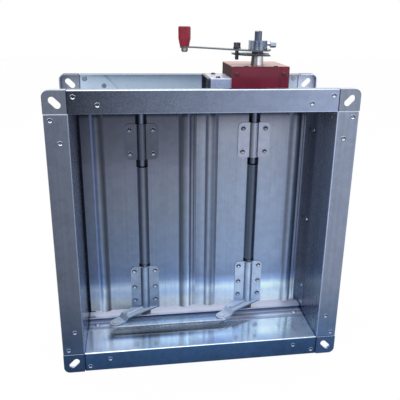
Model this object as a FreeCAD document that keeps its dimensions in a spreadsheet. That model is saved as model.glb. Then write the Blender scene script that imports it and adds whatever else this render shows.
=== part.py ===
import FreeCAD, Part
import math
import os
import re
import Sketcher

# Two-blade volume control damper for a 400 x 400 duct, in millimetres.
# +Z is up along the blade shafts, +X along the width, and air flows along Y.
# The front flange faces -Y. The origin is on the floor, under the middle of the casing.

SIZES = {
    # Casing: four folded panels of galvanised sheet
    "duct_width": 400,
    "duct_height": 400,
    "casing_depth": 210,
    "casing_sheet": 1.2,
    "flange_width": 35,
    "return_lip": 14,
    "lip_bend": 2.2,
    "lap_height": 25,
    "lap_inset": 12,
    # Corner pieces of the two flanges
    "corner_sheet": 2,
    "corner_rounding": 10,
    "corner_play": 0.3,
    "corner_gap": 1.4,
    "arm_inner_reach": 72,
    "arm_joggle": 4,
    "slot_width": 10,
    "slot_length": 20,
    "clinch_bore": 3,
    "clinch_depth": 0.7,
    "clinch_button": 4,
    "clinch_button_rise": 1.2,
    "clinch_slope": 0.8,
    "clinch_near": 8,
    "clinch_near_edge": 9.7,
    "clinch_far": 41.5,
    "clinch_far_edge": 21.5,
    # Sills under and over the blades
    "sill_sheet": 1,
    "sill_height": 8,
    "sill_top_width": 26,
    "sill_leg": 24,
    "sill_play": 0.5,
    "sill_screw_inset": 16,
    "sill_bend": 1.6,
    # Side seals: angles that the outer blade edges close against
    "seal_sheet": 1,
    "seal_reach": 12,
    "seal_wall_leg": 24,
    "seal_end_gap": 3,
    "seal_gap": 0.6,
    "seal_end_rivet": 50,
    "seal_middle_drop": 15,
    # Blades
    "blade_side_gap": 4.5,
    "blade_overlap": 7,
    "blade_sheet": 1.2,
    "blade_end_gap": 15.5,
    "blade_lap": 12,
    "blade_joggle": 1.9,
    "blade_joggle_run": 2,
    "rib_inset": 26.5,
    "rib_width": 22,
    "rib_height": 5,
    "bead_width": 19,
    "bead_height": 7,
    "cradle_width": 20,
    "cradle_reach": 94,
    # Shafts and what they turn in
    "shaft_radius": 6,
    "shaft_seat": 0.1,
    "running_gap": 0.06,
    "bush_wall": 3,
    "bush_flange": 4,
    "bush_flange_thick": 2,
    "hole_gap": 0.1,
    "bush_end_gap": 0.4,
    "stub_depth": 3,
    "shaft_bevel": 1,
    # Saddles and cranks
    "saddle_sheet": 2,
    "saddle_width": 55.5,
    "saddle_height": 61,
    "saddle_corner": 8,
    "saddle_inset": 20,
    "saddle_rivet_across": 19.4,
    "saddle_rivet_up": 20.3,
    "crank_width": 50.4,
    "crank_height": 85,
    "crank_lift": 1.5,
    "crank_rivet_across": 18.7,
    "crank_low_row": 18.5,
    "crank_middle_row": 45.5,
    "crank_high_row": 77,
    "crank_radius": 66.4,
    "crank_angle": 34.4,
    "crank_tip_radius": 10,
    "crank_arm_sheet": 2.5,
    "crank_tip_drop": 6.5,
    "crank_tip_run": 15,
    "crank_ramp": 6,
    "crank_rib_radius": 3.2,
    "crank_rib_gap": 2,
    "crank_rib_sunk": 0.6,
    "rivet_shank": 2.4,
    "rivet_head": 3.8,
    "rivet_head_rise": 1.1,
    "rivet_slope": 1,
    "rivet_tail": 3.4,
    "rivet_dimple": 1.7,
    "rivet_dimple_foot": 0.7,
    "rivet_dimple_sink": 0.3,
    # Link bar and its pins
    "link_width": 20,
    "link_sheet": 2,
    "link_gap": 0.3,
    "pin_radius": 3,
    "pin_play": 0.08,
    "pin_head": 5,
    "pin_head_rise": 1.8,
    "pin_head_rim": 0.7,
    "pin_crown": 2,
    "pin_thread_step": 0.5,
    "pin_nut_thick": 2.6,
    "pin_tail": 4,
    "open_pin_play": 0.3,
    # Stand over the casing, and the cover on it
    "stand_height": 40.3,
    "stand_sheet": 1.5,
    "stand_left": 86,
    "stand_right": 45,
    "stand_front": 27.5,
    "stand_back": 43,
    "stand_foot": 14,
    "stand_foot_screw": 17,
    "stand_screw_inset": 18.4,
    "stand_screw_y": 26,
    "stand_bend": 2.25,
    "stand_bore_gap": 1,
    "brace_inset": 5,
    "brace_leg": 24,
    "cover_sheet": 1.2,
    "cover_bend": 1.8,
    "cover_width": 94.4,
    "cover_front": 29.5,
    "cover_back": 62,
    "cover_height": 59.2,
    "cover_floor_gap": 2,
    "cover_flange": 13.5,
    "cover_gap": 0.3,
    "cover_tab": 7,
    "cover_tab_offset": 24,
    "cover_tab_rise": 1,
    "cover_screw_x": 39,
    "cover_screw_drop": 12.6,
    # Neck, quadrant, and the handle on the drive shaft
    "neck_bottom_radius": 10.8,
    "neck_top_radius": 9.3,
    "neck_flange_radius": 17,
    "neck_flange_thick": 3,
    "neck_top": 75.8,
    "neck_spigot": 7.6,
    "neck_taper_drop": 1,
    "quadrant_sheet": 2,
    "quadrant_radius": 42.8,
    "quadrant_hub": 18.7,
    "quadrant_slot_radius": 34.5,
    "quadrant_slot_width": 7,
    "rest_angle": 180,
    "travel_angle": 90,
    "quadrant_end_angle": 15,
    "quadrant_near_angle": 45,
    "quadrant_far_angle": 30,
    "washer_radius": 9.3,
    "washer_thick": 3.2,
    "lever_sheet": 2.2,
    "lever_reach": 120,
    "lever_hub_width": 26,
    "lever_tip_width": 15,
    "lever_tail": 19.5,
    "lever_rise": 4.6,
    "lever_flat": 14,
    "lever_tail_rise": 1.6,
    "lever_tip_flat": 12,
    "lever_corner": 3,
    "lever_bend_gap": 0.5,
    "hub_width": 28,
    "hub_height": 14.6,
    "hub_chamfer": 7,
    "stub_rise": 15,
    "stub_mark": 1.4,
    "stub_mark_depth": 3,
    "set_screw_height": 8.9,
    "set_screw_radius": 2.5,
    "set_screw_head": 5.5,
    "set_screw_head_thick": 9.2,
    "set_screw_stand": 6.3,
    "lock_radius": 3,
    "lock_head": 5.6,
    "lock_head_height": 7.5,
    "lock_washer": 6.2,
    "lock_washer_thick": 2,
    "lock_tail": 8.5,
    "lock_slot": 1.4,
    "lock_slot_depth": 2.4,
    "lock_bevel": 0.8,
    "lock_seat_gap": 0.6,
    "knob_radius": 9.9,
    "knob_foot_radius": 7.4,
    "knob_height": 30.3,
    "knob_taper": 12,
    "knob_rounding": 2,
    "knob_gap": 0.3,
    "knob_bore_depth": 24,
    "knob_rivet_radius": 5.4,
    "knob_rivet_rise": 6,
    "knob_rivet_slope": 1.6,
    "knob_rivet_crown": 2.4,
    "knob_rivet_play": 0.5,
    "knob_pin": 3,
    "knob_pin_gap": 1,
    # Collar that carries the drive shaft inside the stand
    "collar_gap": 0.3,
    "collar_radius": 12,
    "collar_height": 10,
    "collar_screw": 2.5,
    # Retaining cap on the idle shaft
    "cap_radius": 9,
    "cap_sheet": 1.2,
    # Small screws
    "screw_radius": 2,
    "screw_head": 4,
    "screw_head_rise": 2.2,
    "screw_rim": 1,
    "screw_crown": 1.4,
    "screw_length": 6,
    "sill_screw_length": 3,
    "screw_socket": 1.1,
    "screw_socket_depth": 1.1,
}

doc = FreeCAD.newDocument("Damper")
sheet = doc.addObject("Spreadsheet::Sheet", "Sizes")
for row, (alias, number) in enumerate(SIZES.items(), start=1):
    sheet.set(f"A{row}", alias)
    sheet.set(f"B{row}", str(number))
    sheet.setAlias(f"B{row}", alias)
doc.recompute()

PARTS = []
UP = FreeCAD.Vector(0, 0, 1)


def link(text):
    """An expression with every size's name pointed at the sheet."""

    def point(word):
        return "Sizes." + word.group() if word.group() in SIZES else word.group()

    return re.sub(r"[a-z_]+", point, str(text))


def value(text):
    return float(sheet.evalExpression(link(text)))


def bind(item, prop, text):
    item.setExpression(prop, link(text))


def place(item, x=0, y=0, z=0, turn=None):
    """Put an object at a point given by expressions, turned by (axis, degrees)."""
    if turn:
        rotation = FreeCAD.Rotation(FreeCAD.Vector(*turn[0]), turn[1])
        item.Placement = FreeCAD.Placement(FreeCAD.Vector(), rotation)
    for prop, text in (("x", x), ("y", y), ("z", z)):
        if str(text) != "0":
            bind(item, "Placement.Base." + prop, text)
    return item


def part(item, label):
    """Register a finished sub-part under its node's name."""
    item.Label = label
    PARTS.append(item)
    return item


# Sketches


def near(first, second, slack=0.01):
    return abs(first - second) < slack


def draw_outline(sketch, corners, first=0):
    """Close a loop through corners (x, y) or (x, y, radius, side) given as expressions.

    The radius is that of the arc that leaves the corner, and side is 1 when the arc
    bulges to the left of its travel and -1 when it bulges to the right.
    """
    points = [FreeCAD.Vector(value(corner[0]), value(corner[1]), 0) for corner in corners]
    for index, corner in enumerate(corners):
        start = points[index]
        end = points[(index + 1) % len(corners)]
        if len(corner) == 2:
            sketch.addGeometry(Part.LineSegment(start, end))
            continue
        chord = end - start
        radius = value(corner[2])
        left = FreeCAD.Vector(-chord.y, chord.x, 0).normalize()
        sag = radius - math.sqrt(max(radius ** 2 - chord.Length ** 2 / 4, 0))
        sketch.addGeometry(Part.Arc(start, (start + end) * 0.5 + left * (sag * corner[3]), end))
    count = len(corners)
    for index, corner in enumerate(corners):
        here = first + index
        after = first + (index + 1) % count
        ends = [1, 2]
        if len(corner) == 4 and corner[3] == 1:
            ends = [2, 1]
        following = corners[(index + 1) % count]
        opening = 2 if len(following) == 4 and following[3] == 1 else 1
        sketch.addConstraint(Sketcher.Constraint("Coincident", here, ends[1], after, opening))
    for index, corner in enumerate(corners):
        here = first + index
        point = 2 if len(corner) == 4 and corner[3] == 1 else 1
        for kind, text in (("DistanceX", corner[0]), ("DistanceY", corner[1])):
            number = sketch.addConstraint(Sketcher.Constraint(kind, -1, 1, here, point, value(text)))
            bind(sketch, f"Constraints[{number}]", text)
        if len(corner) == 2:
            continue
        following = corners[(index + 1) % count]
        chord = points[(index + 1) % count] - points[index]
        if not near(chord.Length, 2 * value(corner[2])):
            number = sketch.addConstraint(Sketcher.Constraint("Radius", here, value(corner[2])))
            bind(sketch, f"Constraints[{number}]", corner[2])
            continue
        # A half circle is held by its centre, half way between its ends
        kind, axis = ("DistanceX", 0) if abs(chord.y) > abs(chord.x) else ("DistanceY", 1)
        middle = f"(({corner[axis]}) + ({following[axis]})) / 2"
        number = sketch.addConstraint(Sketcher.Constraint(kind, -1, 1, here, 3, value(middle)))
        bind(sketch, f"Constraints[{number}]", middle)
    return first + count


def draw_circles(sketch, circles, first=0):
    for x, y, radius in circles:
        centre = FreeCAD.Vector(value(x), value(y), 0)
        sketch.addGeometry(Part.Circle(centre, UP, value(radius)))
        for kind, text in (("DistanceX", x), ("DistanceY", y)):
            number = sketch.addConstraint(Sketcher.Constraint(kind, -1, 1, first, 3, value(text)))
            bind(sketch, f"Constraints[{number}]", text)
        number = sketch.addConstraint(Sketcher.Constraint("Radius", first, value(radius)))
        bind(sketch, f"Constraints[{number}]", radius)
        first += 1
    return first


def body_sketch(body, name, plane, offset=0, outlines=(), circles=()):
    """A sketch on one of the body's own planes, moved along its normal by an expression."""
    sketch = body.newObject("Sketcher::SketchObject", name)
    support = next(item for item in body.Origin.OriginFeatures if item.Role == plane)
    sketch.AttachmentSupport = [(support, "")]
    sketch.MapMode = "FlatFace"
    if str(offset) != "0":
        bind(sketch, "AttachmentOffset.Base.z", offset)
    first = 0
    for outline in outlines:
        first = draw_outline(sketch, outline, first)
    draw_circles(sketch, circles, first)
    doc.recompute()
    return sketch


def new_body(name):
    return doc.addObject("PartDesign::Body", name)


def pad(body, sketch, length, both_ways=False, reverse=False):
    feature = body.newObject("PartDesign::Pad", sketch.Name + "_pad")
    feature.Profile = sketch
    feature.SideType = "Symmetric" if both_ways else "One side"
    feature.Reversed = reverse
    bind(feature, "Length", length)
    doc.recompute()
    return feature


def pocket(body, sketch, length, both_ways=False, reverse=False):
    before = body.Shape.Volume
    feature = body.newObject("PartDesign::Pocket", sketch.Name + "_cut")
    feature.Profile = sketch
    feature.SideType = "Symmetric" if both_ways else "One side"
    feature.Reversed = reverse
    bind(feature, "Length", length)
    doc.recompute()
    if body.Shape.Volume >= before:
        raise ValueError(f"{body.Name}: {sketch.Name} cuts nothing")
    return feature


def revolve(body, sketch, axis="V_Axis"):
    feature = body.newObject("PartDesign::Revolution", sketch.Name + "_turn")
    feature.Profile = sketch
    feature.ReferenceAxis = (sketch, [axis])
    feature.Angle = 360
    doc.recompute()
    return feature


def round_edges(body, feature, radius, wanted):
    """Round the feature's straight edges for which wanted(midpoint, direction) holds."""
    names = []
    for number, edge in enumerate(feature.Shape.Edges, start=1):
        if edge.Curve.TypeId != "Part::GeomLine":
            continue
        middle = (edge.Vertexes[0].Point + edge.Vertexes[-1].Point) * 0.5
        along = (edge.Vertexes[-1].Point - edge.Vertexes[0].Point).normalize()
        if wanted(middle, along):
            names.append(f"Edge{number}")
    if not names:
        raise ValueError(f"{body.Name}: no edge to round")
    fillet = body.newObject("PartDesign::Fillet", feature.Name + "_round")
    fillet.Base = (feature, names)
    bind(fillet, "Radius", radius)
    doc.recompute()
    return fillet


def box_outline(low_x, low_y, high_x, high_y):
    return [(low_x, low_y), (high_x, low_y), (high_x, high_y), (low_x, high_y)]


# Primitives


def cylinder(name, radius, height, x=0, y=0, z=0, turn=None):
    item = doc.addObject("Part::Cylinder", name)
    bind(item, "Radius", radius)
    bind(item, "Height", height)
    return place(item, x, y, z, turn)


def cone(name, low_radius, high_radius, height, x=0, y=0, z=0, turn=None):
    item = doc.addObject("Part::Cone", name)
    bind(item, "Radius1", low_radius)
    bind(item, "Radius2", high_radius)
    bind(item, "Height", height)
    return place(item, x, y, z, turn)


def block(name, low, high):
    """A box between two corners given as expressions."""
    item = doc.addObject("Part::Box", name)
    for prop, start, end in zip(("Length", "Width", "Height"), low, high):
        bind(item, prop, f"({end}) - ({start})")
    return place(item, *low)


def fuse(name, items):
    item = doc.addObject("Part::MultiFuse", name)
    item.Shapes = items
    return item


def cut(name, base, tool):
    item = doc.addObject("Part::Cut", name)
    item.Base = base
    item.Tool = tool
    return item


def common(name, items):
    item = doc.addObject("Part::MultiCommon", name)
    item.Shapes = items
    return item


def group(name, items):
    item = doc.addObject("Part::Compound", name)
    item.Links = items
    return item


def prism(name, corners, length, turn=None, x=0, y=0, z=0, circles=()):
    """A loose sketch extruded along its own normal by an expression."""
    sketch = doc.addObject("Sketcher::SketchObject", name + "_sketch")
    first = draw_outline(sketch, corners)
    draw_circles(sketch, circles, first)
    place(sketch, x, y, z, turn)
    solid = doc.addObject("Part::Extrusion", name)
    solid.Base = sketch
    solid.DirMode = "Normal"
    solid.Solid = True
    bind(solid, "LengthFwd", length)
    return solid


# Levels and places that many pieces share, as expressions

floor_z = "flange_width"
ceiling_z = "(flange_width + duct_height)"
roof_z = f"({ceiling_z} + casing_sheet)"
half_depth = "(casing_depth / 2)"
half_width = "(duct_width / 2)"
blade_low = f"({floor_z} + blade_end_gap)"
blade_high = f"({ceiling_z} - blade_end_gap)"
stand_top = f"({roof_z} + stand_height)"
quadrant_low = f"({roof_z} + neck_top)"
lever_low = f"({quadrant_low} + quadrant_sheet + washer_thick)"
hub_low = f"({lever_low} + lever_sheet)"
hub_top = f"({hub_low} + hub_height)"
# The two blades fill the width between the side gaps and overlap at the middle
blade_span = "(duct_width - 2 * blade_side_gap)"
blade_width = f"(({blade_span} + blade_overlap) / 2)"
blade_pitch = f"(({blade_span} - blade_overlap) / 2)"
rib_offset = f"({blade_width} / 2 - rib_inset)"
idle_x = f"(0 - {blade_pitch} / 2)"
drive_x = f"({blade_pitch} / 2)"
SHAFTS = {"idle": idle_x, "drive": drive_x}
# Each crank's pin, from its shaft, with the damper shut
pin_x = "(0 - crank_radius * cos(crank_angle))"
pin_y = "(0 - crank_radius * sin(crank_angle))"
# How far a cutting solid starts outside what it cuts, how long one is that cuts right
# through, and how far fused solids reach into each other
past = "1"
through = "40"
overlap = "0.2"

# Casing panels


def channel_outline(width):
    """Section of a panel: web, two flanges turned out and their lips turned back."""
    rim = "casing_sheet"
    return [
        (f"0 - {half_depth} + return_lip", "0"),
        (f"0 - {half_depth} + return_lip", rim),
        (f"0 - {half_depth} + {rim}", rim),
        (f"0 - {half_depth} + {rim}", f"{width} - {rim}"),
        (f"{half_depth} - {rim}", f"{width} - {rim}"),
        (f"{half_depth} - {rim}", rim),
        (f"{half_depth} - return_lip", rim),
        (f"{half_depth} - return_lip", "0"),
        (half_depth, "0"),
        (half_depth, width),
        (f"0 - {half_depth}", width),
        (f"0 - {half_depth}", "0"),
    ]


def clinch_spots(length):
    """Clinches along one flange: along the flange from its middle, and in from its outer edge."""
    ends = (f"({length}) / 2 - clinch_near", f"({length}) / 2 - clinch_far")
    edges = ("clinch_near_edge", "clinch_far_edge")
    return [(f"{side} * ({along})", edge) for side in (-1, 1) for along, edge in zip(ends, edges)]


def casing_panel(name, span, with_laps, holes):
    """A floor panel, lying on its flanges' outer edges, with X along its length."""
    body = new_body(name)
    section = body_sketch(body, name + "_section", "YZ_Plane", outlines=[channel_outline("flange_width")])
    web = pad(body, section, span, both_ways=True)
    half = value(half_depth)
    wide = value("flange_width")

    def outer_bend(middle, along):
        corner = near(abs(middle.y), half) and (near(middle.z, 0) or near(middle.z, wide))
        return corner and abs(along.x) > 0.99

    round_edges(body, web, "lip_bend", outer_bend)
    if with_laps:
        wall = "casing_sheet"
        reach = f"({span}) / 2"
        for side in (-1, 1):
            lap = [
                (f"{side} * ({reach} - {past})", f"flange_width - {wall}"),
                (f"{side} * ({reach} + 2 * {wall})", f"flange_width - {wall}"),
                (f"{side} * ({reach} + 2 * {wall})", "flange_width + lap_height"),
                (f"{side} * ({reach} + {wall})", "flange_width + lap_height"),
                (f"{side} * ({reach} + {wall})", "flange_width"),
                (f"{side} * ({reach} - {past})", "flange_width"),
            ]
            if side < 0:
                lap.reverse()
            strip = body_sketch(body, f"{name}_lap{side + 1}", "XZ_Plane", outlines=[lap])
            pad(body, strip, "casing_depth - 2 * lap_inset", both_ways=True)
    spots = [(x, edge, "clinch_bore") for x, edge in clinch_spots(span)]
    for label, offset, away in (("front", half_depth, False), ("back", f"0 - {half_depth}", True)):
        dimples = body_sketch(body, f"{name}_{label}_clinches", "XZ_Plane", offset=offset, circles=spots)
        pocket(body, dimples, "clinch_depth", reverse=away)
    if holes:
        openings = body_sketch(body, name + "_holes", "XY_Plane", offset=f"flange_width + {past}",
                               circles=holes)
        pocket(body, openings, f"casing_sheet + 2 * {past}")
    return body


bush_hole = "shaft_radius + running_gap + bush_wall + hole_gap"
sill_screw_y = "(sill_top_width / 2 + sill_leg / 2)"
sill_screw_x = f"({half_width} - sill_screw_inset)"
screw_hole = "screw_radius + hole_gap"
SILL_SPOTS = [(f"{side} * {sill_screw_x}", f"{away} * {sill_screw_y}")
              for side in (-1, 1) for away in (-1, 1)]
STAND_SPOTS = [
    (f"{drive_x} - stand_left + stand_foot_screw", "0 - stand_front - stand_foot / 2"),
    (f"{drive_x} + stand_right - stand_foot_screw", "0 - stand_front - stand_foot / 2"),
    (f"{drive_x} - stand_left + stand_foot_screw", "stand_back + stand_foot / 2"),
    (f"{drive_x} + stand_right - stand_foot_screw", "stand_back + stand_foot / 2"),
]
stand_middle = "((stand_back - stand_front) / 2)"
top_screw_x = f"{drive_x} - stand_left + stand_screw_inset"
TOP_SPOTS = [(top_screw_x, f"{stand_middle} + {side} * stand_screw_y") for side in (-1, 1)]

floor_holes = [(x, "0", bush_hole) for x in SHAFTS.values()] + [(x, y, screw_hole) for x, y in SILL_SPOTS]
# The roof panel is the floor panel turned over about X, so its Y values change sign
roof_holes = [(x, "0", bush_hole) for x in SHAFTS.values()]
roof_holes += [(x, f"0 - ({y})", screw_hole) for x, y in SILL_SPOTS + STAND_SPOTS]

part(casing_panel("floor_panel", "duct_width", True, floor_holes), "casing_bottom")
roof = part(casing_panel("roof_panel", "duct_width", True, roof_holes), "casing_top")
place(roof, z="duct_height + 2 * flange_width", turn=((1, 0, 0), 180))

SEAL_ROWS = ("seal_end_rivet", "duct_height / 2 - seal_middle_drop", "duct_height - seal_end_rivet")
# Face of each seal that the blade closes against, as a distance in front of the shafts
SEAL_FACES = {"right": "(blade_sheet / 2 - blade_joggle + seal_gap)", "left": "(blade_sheet / 2 + seal_gap)"}
rivet_hole = "(rivet_shank + hole_gap / 2)"


def seal_holes(side):
    """Rivet holes of a wall, in the frame of the panel lying down."""
    spots = []
    for row in SEAL_ROWS:
        along = f"{row} - duct_height / 2"
        depth = f"{SEAL_FACES[side]} + seal_wall_leg / 2"
        if side == "right":
            spots.append((along, f"0 - ({depth})", rivet_hole))
        else:
            spots.append((f"0 - ({along})", depth, rivet_hole))
    return spots


# A side panel is a floor panel stood on end: its X runs down the wall on the left side
left = part(casing_panel("left_panel", "duct_height", False, seal_holes("left")), "casing_left")
place(left, x=f"0 - {half_width} - flange_width", z=f"{floor_z} + duct_height / 2", turn=((0, 1, 0), 90))
right = part(casing_panel("right_panel", "duct_height", False, seal_holes("right")), "casing_right")
place(right, x=f"{half_width} + flange_width", z=f"{floor_z} + duct_height / 2", turn=((0, 1, 0), -90))

# Corner pieces


def corner_piece(name):
    """Square lug with a lip round its outside and two arms behind the flanges.

    It is drawn as the front one at the lower left, with its corner at the origin.
    """
    body = new_body(name)
    lug = body_sketch(body, name + "_lug", "XZ_Plane",
                      outlines=[box_outline("0", "0", *["flange_width - corner_gap"] * 2)])
    plate = pad(body, lug, "return_lip", reverse=True)

    def outer_corner(middle, along):
        return near(middle.x, 0) and near(middle.z, 0) and abs(along.y) > 0.99

    round_edges(body, plate, "corner_rounding", outer_corner)
    inner = "(corner_rounding - corner_sheet)"
    hollow = [
        (f"flange_width + {past}", f"flange_width + {past}"),
        ("corner_sheet", f"flange_width + {past}"),
        ("corner_sheet", f"corner_sheet + {inner}", inner, -1),
        (f"corner_sheet + {inner}", "corner_sheet"),
        (f"flange_width + {past}", "corner_sheet"),
    ]
    inside = body_sketch(body, name + "_inside", "XZ_Plane", offset="0 - corner_sheet", outlines=[hollow])
    pocket(body, inside, "return_lip", reverse=False)
    outer = "(casing_sheet + corner_play)"
    web = "(flange_width - casing_sheet - corner_play)"
    root = "(flange_width - arm_joggle)"
    tip = "(flange_width + arm_inner_reach)"
    short = f"({tip} - {web} + {outer})"
    arms = [
        (root, outer),
        (short, outer),
        (tip, web),
        (web, web),
        (web, tip),
        (outer, short),
        (outer, root),
        (root, root),
    ]
    limbs = body_sketch(body, name + "_arms", "XZ_Plane", offset="0 - casing_sheet", outlines=[arms])
    pad(body, limbs, "corner_sheet", reverse=True)
    middle = "flange_width / 2"
    straight = "(slot_length - slot_width) / 2 / sqrt(2)"
    across = "slot_width / 2 / sqrt(2)"
    slot = [
        (f"{middle} - {straight} - {across}", f"{middle} - {straight} + {across}", "slot_width / 2", -1),
        (f"{middle} - {straight} + {across}", f"{middle} - {straight} - {across}"),
        (f"{middle} + {straight} + {across}", f"{middle} + {straight} - {across}", "slot_width / 2", -1),
        (f"{middle} + {straight} - {across}", f"{middle} + {straight} + {across}"),
    ]
    opening = body_sketch(body, name + "_slot", "XZ_Plane", offset=past, outlines=[slot])
    pocket(body, opening, f"corner_sheet + 2 * {past}", reverse=False)
    return body


CORNERS = {
    "bottom_left": (f"0 - {half_width} - flange_width", "0", 0),
    "bottom_right": (f"{half_width} + flange_width", "0", -90),
    "top_right": (f"{half_width} + flange_width", "duct_height + 2 * flange_width", 180),
    "top_left": (f"0 - {half_width} - flange_width", "duct_height + 2 * flange_width", 90),
}
for label, (x, z, angle) in CORNERS.items():
    front = part(corner_piece(f"front_{label}"), f"corner_front_{label}")
    place(front, x, f"0 - {half_depth}", z, ((0, 1, 0), angle))
OPPOSITE = {"bottom_left": "bottom_right", "bottom_right": "bottom_left",
            "top_left": "top_right", "top_right": "top_left"}
for label, (x, z, angle) in CORNERS.items():
    # Turned half round about Z, a front corner becomes the back one on the other side
    back = part(corner_piece(f"back_{label}"), f"corner_back_{OPPOSITE[label]}")
    turned = FreeCAD.Rotation(FreeCAD.Vector(0, 0, 1), 180) * FreeCAD.Rotation(FreeCAD.Vector(0, 1, 0), angle)
    back.Placement = FreeCAD.Placement(FreeCAD.Vector(), turned)
    place(back, f"0 - ({x})", half_depth, z)

# Clinch buttons on the backs of the corner arms


def clinch_group(name, side):
    """The raised buttons of one flange; side is -1 at the front and 1 at the back."""
    depth = f"{side} * ({half_depth} - casing_sheet - corner_sheet)"
    total_x = "duct_width + 2 * flange_width"
    total_z = "duct_height + 2 * flange_width"
    spots = []
    for along, edge in clinch_spots("duct_width"):
        spots.append((along, edge))
        spots.append((along, f"{total_z} - {edge}"))
    for along, edge in clinch_spots("duct_height"):
        spots.append((f"0 - ({total_x}) / 2 + {edge}", f"({total_z}) / 2 + {along}"))
        spots.append((f"({total_x}) / 2 - {edge}", f"({total_z}) / 2 + {along}"))
    turn = ((1, 0, 0), -90) if side < 0 else ((1, 0, 0), 90)
    buttons = []
    for number, (x, z) in enumerate(spots):
        buttons.append(cone(f"{name}_{number}", "clinch_button", "clinch_button - clinch_slope",
                            "clinch_button_rise", x, depth, z, turn))
    return group(name, buttons)


part(clinch_group("front_buttons", -1), "front_flange_clinches")
part(clinch_group("back_buttons", 1), "back_flange_clinches")

# Sills and their screws


def sill(name):
    """Hat section across the casing that the ends of the blades sweep over."""
    body = new_body(name)
    top = "(sill_top_width / 2)"
    foot = f"({top} + sill_leg)"
    section = [
        (f"0 - {foot}", "0"),
        (f"0 - {top} + sill_sheet", "0"),
        (f"0 - {top} + sill_sheet", "sill_height - sill_sheet"),
        (f"{top} - sill_sheet", "sill_height - sill_sheet"),
        (f"{top} - sill_sheet", "0"),
        (foot, "0"),
        (foot, "sill_sheet"),
        (top, "sill_sheet"),
        (top, "sill_height"),
        (f"0 - {top}", "sill_height"),
        (f"0 - {top}", "sill_sheet"),
        (f"0 - {foot}", "sill_sheet"),
    ]
    hat = body_sketch(body, name + "_section", "YZ_Plane", outlines=[section])
    strip = pad(body, hat, "duct_width - 2 * sill_play", both_ways=True)
    half = value(top)
    high = value("sill_height")

    def top_bend(middle, along):
        return near(abs(middle.y), half) and near(middle.z, high) and abs(along.x) > 0.99

    round_edges(body, strip, "sill_bend", top_bend)
    openings = [(x, "0", bush_hole) for x in SHAFTS.values()]
    openings += [(x, y, screw_hole) for x, y in SILL_SPOTS]
    holes = body_sketch(body, name + "_holes", "XY_Plane", offset=f"sill_height + {past}", circles=openings)
    pocket(body, holes, f"sill_height + 2 * {past}")
    return body


part(place(sill("floor_sill_body"), z=floor_z), "floor_sill")
part(place(sill("roof_sill_body"), z=ceiling_z, turn=((1, 0, 0), 180)), "ceiling_sill")


def pan_screw(name, x, y, z, turn=None, length="screw_length"):
    """Pan-head screw along its own Z, head up, seated at the given point."""
    head = cylinder(name + "_head", "screw_head", "screw_rim")
    crown = cone(name + "_crown", "screw_head", "screw_head - screw_crown", "screw_head_rise - screw_rim",
                 z="screw_rim")
    shank = cylinder(name + "_shank", "screw_radius", f"{length} + {overlap}", z=f"0 - ({length})")
    whole = fuse(name + "_solid", [head, crown, shank])
    socket = cylinder(name + "_socket", "screw_socket", "screw_head_rise",
                      z="screw_head_rise - screw_socket_depth")
    screw = cut(name, whole, socket)
    return place(screw, x, y, z, turn)


screws = []
for number, (x, y) in enumerate(SILL_SPOTS):
    screws.append(pan_screw(f"floor_screw_{number}", x, y, f"{floor_z} + sill_sheet",
                            length="sill_screw_length"))
    screws.append(pan_screw(f"roof_screw_{number}", x, y, f"{ceiling_z} - sill_sheet", ((1, 0, 0), 180),
                            "sill_screw_length"))
part(group("sill_screw_group", screws), "sill_screws")

# Side seals


def side_seal(name, face):
    """Angle on the right wall: one leg on the wall, the other in front of the blade's edge."""
    body = new_body(name)
    wall = half_width
    section = [
        (wall, f"0 - {face} - seal_wall_leg"),
        (wall, f"0 - {face}"),
        (f"{wall} - seal_reach", f"0 - {face}"),
        (f"{wall} - seal_reach", f"0 - {face} - seal_sheet"),
        (f"{wall} - seal_sheet", f"0 - {face} - seal_sheet"),
        (f"{wall} - seal_sheet", f"0 - {face} - seal_wall_leg"),
    ]
    angle = body_sketch(body, name + "_section", "XY_Plane",
                        offset=f"{floor_z} + blade_end_gap - seal_end_gap", outlines=[section])
    pad(body, angle, "duct_height - 2 * (blade_end_gap - seal_end_gap)")
    spots = [(f"0 - {face} - seal_wall_leg / 2", f"{floor_z} + {row}", rivet_hole) for row in SEAL_ROWS]
    holes = body_sketch(body, name + "_holes", "YZ_Plane", offset=f"{wall} + {past}", circles=spots)
    pocket(body, holes, f"seal_sheet + 2 * {past}")
    return body


part(side_seal("right_seal_body", SEAL_FACES["right"]), "side_seal_right")
part(place(side_seal("left_seal_body", SEAL_FACES["left"]), turn=((0, 0, 1), 180)), "side_seal_left")


def hollow_rivet(name, grip, x, y, z, turn):
    """Hollow rivet along its own Z: dimpled head on top, plain head below the grip."""
    shank = cylinder(name + "_shank", "rivet_shank", f"{grip} + {overlap}", z=f"0 - {overlap} / 2")
    head = cone(name + "_head", "rivet_head", "rivet_head - rivet_slope", "rivet_head_rise", z=grip)
    tail = cylinder(name + "_tail", "rivet_tail", "rivet_head_rise", z="0 - rivet_head_rise")
    whole = fuse(name + "_solid", [shank, head, tail])
    dimple = cone(name + "_dimple", "rivet_dimple_foot", "rivet_dimple",
                  f"rivet_head_rise + rivet_dimple_sink + {overlap} / 2", z=f"{grip} - rivet_dimple_sink")
    return place(cut(name, whole, dimple), x, y, z, turn)


seal_rivets = []
for side, sign, angle in (("right", 1, -90), ("left", -1, 90)):
    for number, row in enumerate(SEAL_ROWS):
        seal_rivets.append(hollow_rivet(f"{side}_seal_rivet_{number}", "(seal_sheet + casing_sheet)",
                                        f"{sign} * ({half_width} + casing_sheet)",
                                        f"0 - {sign} * ({SEAL_FACES[side]} + seal_wall_leg / 2)",
                                        f"{floor_z} + {row}", ((0, 1, 0), angle)))
part(group("seal_rivet_group", seal_rivets), "seal_rivets")

# Bearing bushes


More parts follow.
